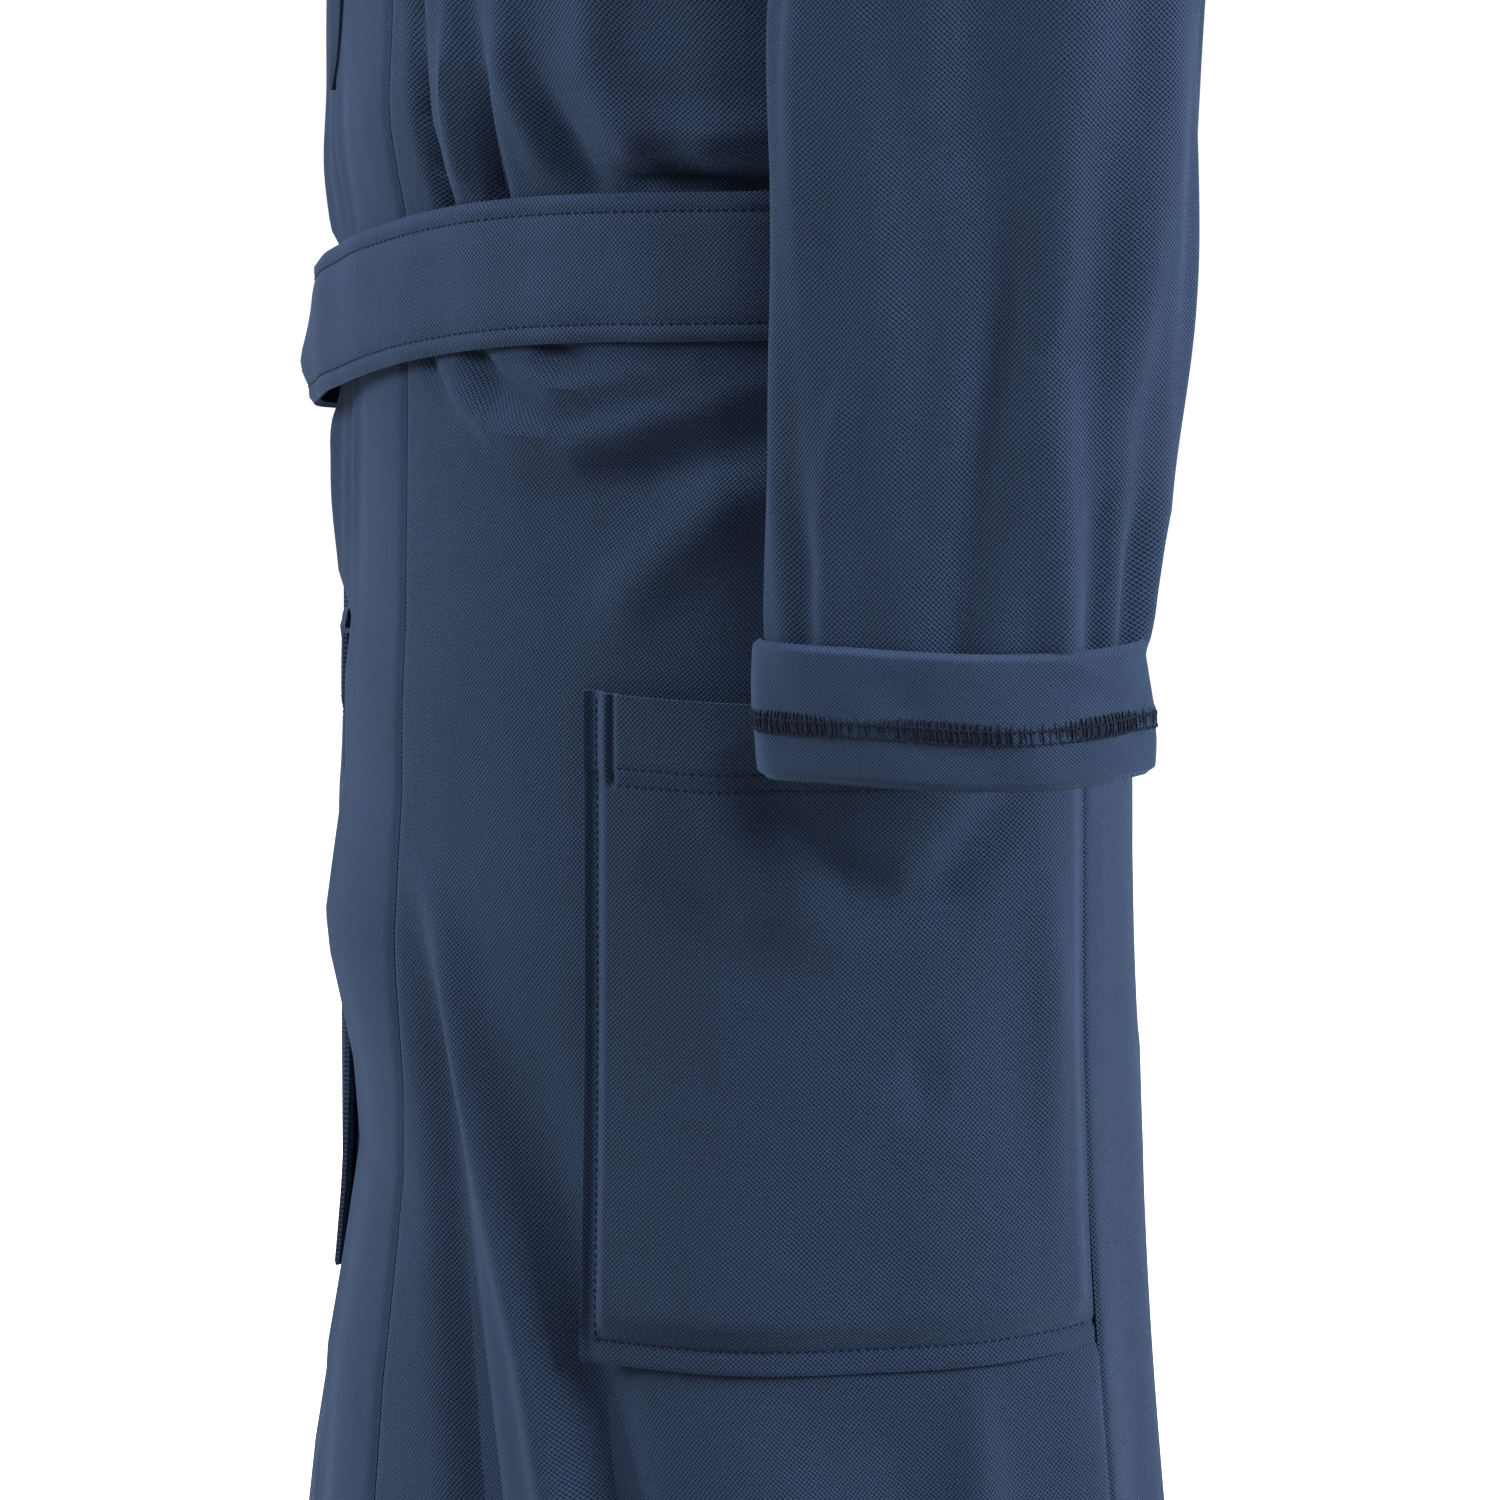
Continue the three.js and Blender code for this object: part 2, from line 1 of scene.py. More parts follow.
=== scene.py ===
import bpy
import math
import numpy as np
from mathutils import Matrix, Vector


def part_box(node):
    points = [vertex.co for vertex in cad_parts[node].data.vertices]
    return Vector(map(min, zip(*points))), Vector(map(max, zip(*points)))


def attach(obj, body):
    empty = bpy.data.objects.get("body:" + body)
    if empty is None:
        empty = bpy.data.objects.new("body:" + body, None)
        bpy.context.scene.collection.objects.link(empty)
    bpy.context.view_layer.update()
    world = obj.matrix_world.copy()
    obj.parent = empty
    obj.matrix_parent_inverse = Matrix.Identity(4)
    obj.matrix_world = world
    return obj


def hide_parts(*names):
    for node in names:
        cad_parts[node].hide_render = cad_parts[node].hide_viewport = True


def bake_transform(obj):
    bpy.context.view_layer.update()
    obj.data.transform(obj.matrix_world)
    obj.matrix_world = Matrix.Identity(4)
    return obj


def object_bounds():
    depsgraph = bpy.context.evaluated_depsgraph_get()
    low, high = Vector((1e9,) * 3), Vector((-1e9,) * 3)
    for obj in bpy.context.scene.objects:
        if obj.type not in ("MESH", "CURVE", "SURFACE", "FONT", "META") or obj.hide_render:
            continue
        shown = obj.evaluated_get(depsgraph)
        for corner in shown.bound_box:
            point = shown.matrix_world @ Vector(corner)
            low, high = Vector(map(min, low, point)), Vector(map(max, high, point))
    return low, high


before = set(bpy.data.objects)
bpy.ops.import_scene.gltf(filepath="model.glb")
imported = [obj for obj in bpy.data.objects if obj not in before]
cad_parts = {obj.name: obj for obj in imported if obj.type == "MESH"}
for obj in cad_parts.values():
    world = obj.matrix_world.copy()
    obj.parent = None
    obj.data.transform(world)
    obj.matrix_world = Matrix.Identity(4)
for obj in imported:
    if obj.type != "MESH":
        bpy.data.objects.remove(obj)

# ---- Camera, light and floor ----
# A pale seamless studio: even white light from all round, a large soft light on each side of the
# camera and one overhead. The camera stands level with the chest and looks a little down.
cad_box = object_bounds()
scene = bpy.context.scene
scene.view_settings.view_transform = "Standard"

camera_turn, camera_rise, camera_away = math.radians(46), math.radians(10), 2.264
camera_aim = Vector((0.0035, -0.0302, -0.6365))


def seen_from(turn, rise):
    return Vector((math.sin(turn) * math.cos(rise), -math.cos(turn) * math.cos(rise), math.sin(rise)))


toward_camera = seen_from(camera_turn, camera_rise)
bpy.ops.object.camera_add(location=camera_aim + camera_away * toward_camera)
camera = bpy.context.object
camera.rotation_euler = (-toward_camera).to_track_quat("-Z", "Y").to_euler()
camera.data.lens = 150.9
camera.data.sensor_width = 36
scene.camera = camera

world = bpy.data.worlds.new("studio")
world.use_nodes = True
world.node_tree.nodes["Background"].inputs["Color"].default_value = (1, 1, 1, 1)
world.node_tree.nodes["Background"].inputs["Strength"].default_value = 0.3
scene.world = world

for name, turn, rise, away, size, power in (
    ("left_softbox", -32, 28, 2.4, 1.2, 52), ("right_softbox", 108, 24, 2.4, 1.1, 80),
    ("overhead", 40, 80, 2.2, 1.4, 24), ("back_softbox", 226, 30, 2.6, 1.5, 34),
):
    direction = seen_from(math.radians(turn), math.radians(rise))
    bpy.ops.object.light_add(type="AREA", location=camera_aim + away * direction)
    lamp = bpy.context.object
    lamp.name = name
    lamp.data.shape = "SQUARE"
    lamp.data.size = size
    lamp.data.energy = power
    lamp.rotation_euler = (-direction).to_track_quat("-Z", "Y").to_euler()

bpy.ops.mesh.primitive_plane_add(size=60, location=(0, 0, cad_box[0].z - 0.1))
floor = bpy.context.object
floor.name = "floor"
floor_paint = bpy.data.materials.new("floor_paint")
floor_paint.use_nodes = True
paint = floor_paint.node_tree.nodes["Principled BSDF"].inputs
paint["Base Color"].default_value = (0.93, 0.93, 0.93, 1)
paint["Roughness"].default_value = 0.9
paint["Emission Color"].default_value = (1, 1, 1, 1)
paint["Emission Strength"].default_value = 0.8
floor.data.materials.append(floor_paint)
floor.visible_diffuse = False

# ---- Back panel ----
# The back is one length of navy pique from the shoulder seams to the hem, wider at the hem.
# It hangs straight between the side seams and falls in soft folds below the belt.
# Sizes here and below are in millimetres, and heights are drops below the neck point.
form_rows = np.array([
    (170, 186, 124), (245, 172.5, 128), (370, 162, 127), (440, 157, 123), (680, 161, 126),
])
hem_drop, hip_drop, chest_drop, shoulder_drop = 1130, 680, 170, 45
hem_half, shoulder_wide, ridge_deep, flare_power = (208, 165), 200, 3.2, 1.6
neck_wide, neck_deep = 72, 48
frame_shift = np.array((0, -33.836, -6.492))
cloth_thick = 0.0018
seam_swing = 8.6


def ease(k):
    k = np.clip(k, 0, 1)
    return k * k * (3 - 2 * k)


def mix(a, b, k):
    return a + (b - a) * k


def form_half(drop):
    """Half width and half depth of the body form at a drop."""
    drop = np.asarray(drop, float)
    i = np.clip(np.searchsorted(form_rows[:, 0], drop), 1, len(form_rows) - 1)
    low, high = form_rows[i - 1], form_rows[i]
    k = ease((drop - low[..., 0]) / (high[..., 0] - low[..., 0]))
    flare = np.clip((drop - hip_drop) / (hem_drop - hip_drop), 0, None) ** flare_power
    wide = np.where(drop < hip_drop, mix(low[..., 1], high[..., 1], k), mix(161, hem_half[0], flare))
    deep = np.where(drop < hip_drop, mix(low[..., 2], high[..., 2], k), mix(126, hem_half[1], flare))
    return wide, deep


def closing(drop):
    return np.clip(1 - np.asarray(drop, float) / chest_drop, 0, 1)


def section_half(drop):
    wide, deep = form_half(np.maximum(drop, chest_drop))
    turn = closing(drop) * np.pi / 2
    return mix(wide, shoulder_wide, np.sin(turn)), mix(ridge_deep, deep, np.cos(turn))


def true_drop(drop):
    return np.where(drop >= chest_drop, drop, chest_drop * (1 - np.sin(closing(drop) * np.pi / 2)))


def form(angle, drop, rise=0):
    """Points of the body form at angles in degrees and drops, moved outwards by rise."""
    angle, drop, rise = np.broadcast_arrays(np.asarray(angle, float), drop, rise)
    wide, deep = section_half(drop)
    x = (wide + rise) * np.cos(np.radians(angle))
    y = (deep + rise) * np.sin(np.radians(angle))
    share = np.sin(closing(drop) * np.pi / 2)
    ridge = -shoulder_drop * np.clip((np.abs(x) - neck_wide) / (shoulder_wide - neck_wide), 0, None)
    z = np.where(drop >= chest_drop, -drop, mix(-chest_drop, ridge + rise, share))
    return np.stack([x, y, z], -1)


def side_line(drop, face):
    """Side seam, opening into the front (-1) or back (1) edge of the armhole."""
    opened = ease((245 - drop) / 60)
    narrowing = np.clip(1 - drop / 185, 0, None)
    below = 13.6 - seam_swing * ease((drop - 490) / 110)
    return mix(below, face * mix(28, 11.5, narrowing), opened)


def belt_middle(angle):
    """Drop of the belt's middle line: it sags towards the knot on the wearer's right hip."""
    away = (np.asarray(angle, float) + 172 + 180) % 360 - 180
    share = np.minimum(1, np.where(away > 0, away / 132, -away / 44))
    return 440 + 53 * ((1 + np.cos(np.pi * share)) / 2) ** 1.3


def belt_press(angle, drop):
    """0 under the belt and 1 clear of it."""
    return ease((np.abs(drop - belt_middle(angle)) - 23) / 16)


def drape(angle, drop):
    """The soft folds all round the robe: gathers at the belt and flutes that grow to the hem."""
    turn = np.radians(angle)
    away = (np.asarray(angle, float) + 65 + 180) % 360 - 180
    calm = 1 - 0.88 * ease((62 - np.abs(away)) / 26)
    flutes = 0.5 * np.sin(7 * turn + 0.6) + 0.32 * np.sin(11 * turn + 2.1) + 0.18 * np.sin(19 * turn)
    above = belt_middle(angle) - 25 - drop
    below = -above - 50
    gather = np.exp(-((above - 34) / 34) ** 2) + np.exp(-((below - 26) / 36) ** 2)
    small = 0.6 * np.sin(26 * turn + 1) + 0.4 * np.sin(41 * turn + 2)
    blouse = 3.4 * np.exp(-((above - 34) / 24) ** 2)
    chest = ease((drop - 150) / 130)
    rise = calm * ((1 + 9 * ease((drop - 620) / 480)) * flutes + 2.3 * gather * small)
    rise = (rise + blouse) * chest
    return np.where(rise > 0, rise * belt_press(angle, drop), rise)


def edged(count, width, rims=(1, 1)):
    """Shares across a piece, with close lines at the sewn edges so that a seam can turn in."""
    near = np.array([0, 0.7, 1.6, 2.8]) / width
    start = near if rims[0] else near[:1]
    end = 1 - near[::-1] if rims[1] else np.array([1])
    middle = np.linspace(start[-1], end[0], count - len(start) - len(end) + 3)[1:-1]
    return np.concatenate([start, middle, end])


def seam_turn(distance, depth=1.3):
    """How far a sewn edge turns in, at a distance from its seam."""
    return -depth * (1 - ease(distance / 2.6))


def levelled(steps, reach=40):
    """Steps averaged up and down the cloth, so that its thread stays straight over a fold."""
    reach = min(reach, len(steps) - 1)
    wide = np.pad(steps, ((reach, reach), (0, 0)), mode="edge")
    total = np.cumsum(np.vstack([0 * wide[:1], wide]), 0)
    return (total[2 * reach + 1:] - total[:-2 * reach - 1]) / (2 * reach + 1)


def cloth(name, across, up, place, thick, finish, around=(0, 0), closed=False):
    """A sheet of cloth: a grid laid out by place(u, v), given its thickness inwards, with a map
    along its thread in metres."""
    bpy.ops.object.select_all(action="DESELECT")
    bpy.ops.mesh.primitive_grid_add(
        x_subdivisions=len(across) - 1, y_subdivisions=len(up) - 1, size=1, calc_uvs=True)
    piece = bpy.context.object
    piece.name = piece.data.name = name
    mesh = piece.data
    flat = np.empty(len(mesh.vertices) * 3)
    mesh.vertices.foreach_get("co", flat)
    flat = flat.reshape(-1, 3) + 0.5
    order = np.lexsort((np.round(flat[:, 0], 5), np.round(flat[:, 1], 5)))
    columns = len(np.unique(np.round(flat[:, 0], 5)))
    u = np.interp(flat[order, 0], np.linspace(0, 1, len(across)), across).reshape(-1, columns)
    v = np.interp(flat[order, 1], np.linspace(0, 1, len(up)), up).reshape(-1, columns)
    points = (place(u, v) + frame_shift) / 1000
    place_of = np.empty((len(flat), 3))
    place_of[order] = points.reshape(-1, 3)
    mesh.vertices.foreach_set("co", place_of.ravel())
    steps = levelled(np.linalg.norm(np.diff(points, axis=1), axis=2))
    along_u = np.concatenate([np.zeros((len(points), 1)), np.cumsum(steps, 1)], 1)
    steps = np.linalg.norm(np.diff(points, axis=0), axis=2).mean(1)
    along_v = np.concatenate([[0], np.cumsum(steps)])[:, None] + 0 * along_u
    thread_map = np.empty((len(flat), 2))
    thread_map[order] = np.stack([along_u, along_v], -1).reshape(-1, 2)
    corner = np.empty(len(mesh.loops), int)
    mesh.loops.foreach_get("vertex_index", corner)
    mesh.uv_layers[0].name = "thread"
    mesh.uv_layers[0].data.foreach_set("uv", thread_map[corner].ravel())
    mesh.update()
    facing = 0
    middle = (np.array((*around, 0)) + frame_shift)[:2] / 1000
    for face in mesh.polygons:
        facing += (np.array(face.center[:2]) - middle) @ np.array(face.normal[:2]) * face.area
    if facing < 0:
        mesh.flip_normals()
    if closed:
        bpy.ops.object.mode_set(mode="EDIT")
        bpy.ops.mesh.select_all(action="SELECT")
        bpy.ops.mesh.remove_doubles(threshold=0.00002)
        bpy.ops.object.mode_set(mode="OBJECT")
    if thick:
        wall = piece.modifiers.new("thickness", "SOLIDIFY")
        wall.thickness = thick
        wall.offset = -1
        bpy.ops.object.modifier_apply(modifier=wall.name)
    bpy.ops.object.shade_smooth_by_angle(angle=math.radians(50))
    mesh.materials.clear()
    mesh.materials.append(finish)
    return piece


def add_node(tree, kind, settings=(), **inputs):
    node = tree.nodes.new("ShaderNode" + kind)
    for key, value in settings:
        setattr(node, key, value)
    for key, value in inputs.items():
        socket = node.inputs[int(key[1:])] if key[1:].isdigit() else node.inputs[key.replace("_", " ")]
        if isinstance(value, bpy.types.NodeSocket):
            tree.links.new(value, socket)
        else:
            socket.default_value = value
    return node


def pique(name, yarn, hollow_shade, pitch, relief, contrast, sheen=0.3):
    """Pique knit: staggered raised cells with painted shade darkening the hollows between them,
    in slightly uneven melange yarn, matt, with a pale bloom where it turns away."""
    material = bpy.data.materials.new(name)
    material.use_nodes = True
    tree = material.node_tree
    surface = tree.nodes["Principled BSDF"]
    thread = add_node(tree, "UVMap", [("uv_map", "thread")]).outputs[0]
    scaled = add_node(tree, "VectorMath", [("operation", "SCALE")], i0=thread, Scale=1 / pitch).outputs[0]
    drift = add_node(tree, "TexNoise", Vector=scaled, Scale=0.11, Detail=2.0).outputs["Color"]
    drift = add_node(tree, "VectorMath", [("operation", "MULTIPLY_ADD")], i0=drift,
                     i1=(0.9, 0.9, 0), i2=scaled).outputs[0]
    parts = add_node(tree, "SeparateXYZ", Vector=drift)
    wave = []
    for axis in (0, 1):
        turned = add_node(tree, "Math", [("operation", "MULTIPLY")], i0=parts.outputs[axis], i1=2 * math.pi)
        wave.append(add_node(tree, "Math", [("operation", "COSINE")], i0=turned.outputs[0]).outputs[0])
    cells = add_node(tree, "Math", [("operation", "MULTIPLY")], i0=wave[0], i1=wave[1]).outputs[0]
    cells = add_node(tree, "MapRange", [("interpolation_type", "SMOOTHSTEP")], Value=cells,
                     From_Min=-0.75, From_Max=0.35).outputs[0]
    fibre = add_node(tree, "TexNoise", Vector=scaled, Scale=3.2, Detail=3.0, Roughness=0.7).outputs[0]
    height = add_node(tree, "Math", [("operation", "MULTIPLY_ADD")], i0=fibre, i1=0.45, i2=cells).outputs[0]
    lit = add_node(tree, "MapRange", Value=height, From_Min=0.1, From_Max=1.35,
                   To_Min=1 - contrast, To_Max=1.0).outputs[0]
    # Painted shade: the colour darkens towards a dark shade colour in the hollows between the cells, for
    # the shadow that falls there.
    body = add_node(tree, "Mix", [("data_type", "RGBA")], i0=lit, i6=(*hollow_shade, 1), i7=(*yarn, 1)).outputs[2]
    cast = add_node(tree, "TexNoise", Vector=thread, Scale=16.0, Detail=4.0).outputs[0]
    slub = add_node(tree, "TexNoise", Vector=scaled, Scale=0.55, Detail=2.0).outputs[0]
    cast = add_node(tree, "Math", [("operation", "MULTIPLY_ADD")], i0=slub, i1=0.6, i2=cast).outputs[0]
    cast = add_node(tree, "MapRange", Value=cast, From_Min=0.45, From_Max=1.15,
                    To_Min=0.88, To_Max=1.12).outputs[0]
    shade = add_node(tree, "VectorMath", [("operation", "SCALE")], i0=body, Scale=cast).outputs[0]
    tree.links.new(shade, surface.inputs["Base Color"])
    rough = add_node(tree, "MapRange", Value=height, From_Max=1.4, To_Min=1.0, To_Max=0.82).outputs[0]
    tree.links.new(rough, surface.inputs["Roughness"])
    crumple = add_node(tree, "TexNoise", Vector=thread, Scale=34.0, Detail=3.0).outputs[0]
    soft = add_node(tree, "Bump", Height=crumple, Strength=0.35, Distance=0.0028).outputs[0]
    bump = add_node(tree, "Bump", Height=height, Strength=0.85, Distance=relief, Normal=soft).outputs[0]
    tree.links.new(bump, surface.inputs["Normal"])
    surface.inputs["Sheen Weight"].default_value = sheen
    surface.inputs["Sheen Roughness"].default_value = 0.42
    surface.inputs["Sheen Tint"].default_value = (0.38, 0.6, 1, 1)
    surface.inputs["Specular IOR Level"].default_value = 0.12
    return material


# Yarn colour, then the painted shade colour of the knit's hollows.
navy = pique("navy_pique", (0.031, 0.055, 0.116), (0.006, 0.011, 0.026), 0.00176, 0.00048, 1.0, 0.26)

panel_heights = np.linspace(0, 1, 270)


def drop_at(up):
    return np.interp(up, (0, 0.84, 1), (hem_drop, chest_drop, 0))


def neck_closing(angle):
    """Share of the shoulder closing at which the back panel meets the neck opening."""
    low, high = np.full_like(angle, 0.3), np.ones_like(angle)

    def outside(closed):
        x, y, _ = np.moveaxis(form(angle, chest_drop * (1 - closed)), -1, 0)
        return (x / neck_wide) ** 2 + (y / neck_deep) ** 2 > 1
    whole = outside(high)
    for _ in range(26):
        middle = (low + high) / 2
        out = outside(middle)
        low, high = np.where(out, middle, low), np.where(out, high, middle)
    return np.where(whole, 1, low)


def creased(angle, drop, creases, reach=2.6):
    """Height of all the creases at a point; reach is the cloth's length in a degree."""
    rise = np.zeros(np.broadcast(angle, drop).shape)
    for width, line in creases:
        line = np.array(line, float)
        nearest = np.full(rise.shape, 1e9)
        tall = np.zeros(rise.shape)
        for start, end in zip(line, line[1:]):
            step = (end[:2] - start[:2]) * (reach, 1)
            x, y = (angle - start[0]) * reach, drop - start[1]
            k = np.clip((x * step[0] + y * step[1]) / (step @ step), 0, 1)
            away = (x - k * step[0]) ** 2 + (y - k * step[1]) ** 2
            closer = away < nearest
            nearest = np.where(closer, away, nearest)
            tall = np.where(closer, mix(start[2], end[2], k), tall)
        rise += tall * np.exp(-nearest / width ** 2)
    return rise


back_creases = [(26, [(40, 560, 0), (40, 620, -8), (40, 655, -8), (40, 690, -3.5), (40, 730, 0)]),
                (30, [(43, 770, 0), (43, 830, -2), (43, 1000, -2.5), (43, 1130, -2.5)])]


def back_place(u, v):
    drop = drop_at(v)
    side = side_line(drop, 1) - 0.03
    angle = mix(side, 180 - side, u)
    closed = closing(drop) * neck_closing(angle)
    drop = np.where(drop >= chest_drop, drop, chest_drop * (1 - closed))
    edge = np.minimum(u, 1 - u) * 500
    rise = drape(angle, drop) + creased(angle, drop, back_creases)
    return form(angle, drop, rise + seam_turn(edge))


back = cloth("back_cloth", edged(150, 500), panel_heights, back_place, cloth_thick, navy)
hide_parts("back_panel")
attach(back, "robe")

# ---- Front panels ----
# Two fronts wrap over each other, the wearer's left one outside. The left front shows the pull of
# the tied belt: tight gathers above it, slanting drag folds under it and long folds to the hem.
overlap_rise = 8.5


def cover_rise(angle, drop):
    return overlap_rise * ease((true_drop(drop) - 50) / 80) * ease((-30 - angle) / 24)


def front_angle(x, drop):
    return -np.degrees(np.arccos(np.clip(x / section_half(drop)[0], -1, 1)))


def front_line(drop, angle, top_x):
    """A line down the front: upright below the lapel, slanting to top_x at the neck above it."""
    fall = true_drop(drop)
    start_x = form_half(355.0)[0] * np.cos(np.radians(angle))
    rising = np.clip(1 - fall / 355, 0, None)
    k = rising * rising / (rising + 0.06) * 1.06
    return np.where(fall >= 355, angle, front_angle(mix(start_x, top_x, k), drop))


def edge_line(drop):
    return front_line(drop, -122, neck_wide)


def band_line(drop):
    return front_line(drop, -102, neck_wide + 58)


# Creases: a width, then the points of its line as angle, drop and height
left_creases = [
    # gathers above the belt
    (3, [(-96, 340, -1), (-94, 395, -4.5), (-92, 430, -5)]),
    (4, [(-90, 330, 0), (-89, 380, 3), (-88, 425, 3)]),
    (3.5, [(-87, 345, 0), (-84, 380, -3), (-83, 425, -6)]),
    (6, [(-83, 300, 0), (-80, 375, 3.5), (-74, 420, 2)]),
    (6, [(-78, 370, 0), (-72, 400, -4), (-69, 415, -3)]),
    (9, [(-70, 300, 0), (-68, 375, 4), (-62, 405, 5)]),
    (9, [(-65, 395, 2), (-54, 400, 6), (-30, 395, 0)]),
    (4.5, [(-65, 415, -2), (-60, 410, -9), (-48, 415, -9), (-38, 415, 0)]),
    # puckers and drag folds below it
    (3.5, [(-96, 480, -3.5), (-90, 495, 0)]),
    (4, [(-88, 475, -4), (-84, 485, -4), (-76, 490, 0)]),
    (3.5, [(-76, 470, -4), (-66, 480, 0)]),
    (4.5, [(-94, 480, 2), (-84, 500, 3.5), (-68, 500, 0)]),
    (5, [(-82, 475, 2), (-74, 485, 3.5), (-56, 475, 2)]),
    (7, [(-35, 470, 0), (-62, 495, 4), (-72, 505, 4), (-86, 500, 0)]),
    (9, [(-35, 490, 0), (-62, 510, -4.5), (-80, 515, 0)]),
    (11, [(-32, 505, 0), (-52, 520, 4), (-64, 550, 3), (-68, 575, 0)]),
    (17, [(-26, 520, -1), (-42, 550, -4), (-46, 600, 0)]),
    # long folds to the hem
    (9, [(-96, 650, 0), (-90, 700, 5), (-76, 820, 8), (-64, 970, 9), (-58, 1130, 9)]),
    (9, [(-97, 660, 0), (-94, 725, -5), (-84, 875, -7), (-73, 1130, -7)]),
    (12, [(-80, 700, 0), (-72, 775, -4), (-61, 915, -8), (-48, 1130, -8)]),
    (16, [(-48, 825, 0), (-44, 930, 8), (-40, 1130, 10)]),
    (18, [(-29, 825, 0), (-25, 930, -8), (-25, 1130, -10)]),
    (10, [(-18, 825, 1), (-17, 930, 7), (-16, 1130, 9)]),
]
# How far the left front's free edge stands out, at drops down to the hem
edge_outline = np.array([
    (300, -4), (575, -5), (600, -2.5), (635, -2.5), (685, 5), (700, 3.5), (740, -5.5), (770, -8.5),
    (805, -4.5), (845, 0.5), (950, 1), (1040, -4), (1130, -8),
])
right_creases = [
    (9, [(-141, 300, 0), (-141, 350, 1), (-141, 445, 3), (-141, 455, 0)]),
    (9, [(-141, 505, 2.5), (-141, 515, 5), (-141, 545, 4), (-141, 585, 0)]),
    (32, [(-139, 570, 0), (-139, 590, -5), (-139, 680, -4), (-139, 770, -12.5), (-139, 790, -12.5),
          (-139, 830, -8), (-139, 900, -3), (-139, 1130, -3)]),
]
fold_depth = 1.45


pocket_drop, pocket_tall, pocket_front, pocket_back = 586, 233, -69.5, 4


def under_pocket(angle, drop):
    """1 under the pocket, where the front lies flat, and 0 clear of it."""
    return ease((angle - pocket_front + 3) / 4) * ease((drop - pocket_drop + 4) / 8) * ease(
        (pocket_drop + pocket_tall + 3 - drop) / 8)


def front_rise(angle, drop, covers):
    """Height of a front over the body form, with the left front lying over the right one."""
    actual = angle if covers else 180 - angle
    rise = drape(actual, drop)
    if covers:
        folds = fold_depth * creased(angle, drop, left_creases)
        folds = np.where(folds > 0, folds * belt_press(angle, drop), folds)
        edge = np.interp(drop, edge_outline[:, 0], edge_outline[:, 1]) * ease((-86 - angle) / 34)
        rise = rise + folds + edge
    else:
        rise = rise + creased((actual + 180) % 360 - 180, drop, right_creases)
        rise = np.minimum(rise, mix(16, 2.5, ease((-56 - angle) / 6)))
    rise = mix(rise, np.minimum(rise, -0.5), under_pocket(angle, drop))
    return rise + (cover_rise(angle, drop) if covers else 0)


def front_place(u, v, covers):
    drop = drop_at(v)
    side = side_line(drop, -1) + 0.03
    angle = mix(side, band_line(drop) + 0.1, u)
    edge = np.minimum(u, 1 - u) * 290
    points = form(angle, drop, front_rise(angle, drop, covers) + seam_turn(edge))
    return points * (1 if covers else -1, 1, 1)


for side, covers in (("left", True), ("right", False)):
    front = cloth(f"{side}_front_cloth", edged(112, 290), panel_heights,
                  lambda u, v: front_place(u, v, covers), cloth_thick, navy)
    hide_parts(f"{side}_front_panel")
    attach(front, "robe")

# ---- Front bands ----
# A doubled strip of pique, 40 mm wide, is sewn down each front edge from the collar to the hem.
# Its grain runs across, so it looks smoother, and the painted shade in its hollows is lighter, so it is
# paler than the front it is joined to.
band_navy = pique("band_pique", (0.033, 0.057, 0.118), (0.013, 0.023, 0.05), 0.0014, 0.00028, 0.9, 0.28)


def band_place(u, v, covers):
    drop = drop_at(v)
    angle = mix(band_line(drop) - 0.1, edge_line(drop), u)
    rolled = -1.6 * (1 - ease((1 - u) * 46 / 3.2)) + 0.5 * np.sin(np.pi * u)
    points = form(angle, drop, front_rise(angle, drop, covers) + seam_turn(u * 46) + rolled)
    return points * (1 if covers else -1, 1, 1)


for side, covers in (("left", True), ("right", False)):
    band = cloth(f"{side}_band_cloth", edged(26, 46), panel_heights,
                 lambda u, v: band_place(u, v, covers), 0.0026, band_navy)
    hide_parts(f"{side}_front_band")
    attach(band, "robe")

# ---- Shawl collar ----
# The collar is one doubled strip in two leaves, joined at the centre back. It turns out of the
# front edge as the lapel, widens over the chest, and rolls over the back of the neck.


def closing_at(x, y):
    low, high = np.zeros_like(x), np.ones_like(x)
    for _ in range(26):
        middle = (low + high) / 2
        wide, deep = section_half(chest_drop * (1 - middle))
        out = (x / wide) ** 2 + (y / deep) ** 2 > 1
        low, high = np.where(out, low, middle), np.where(out, middle, high)
    return low


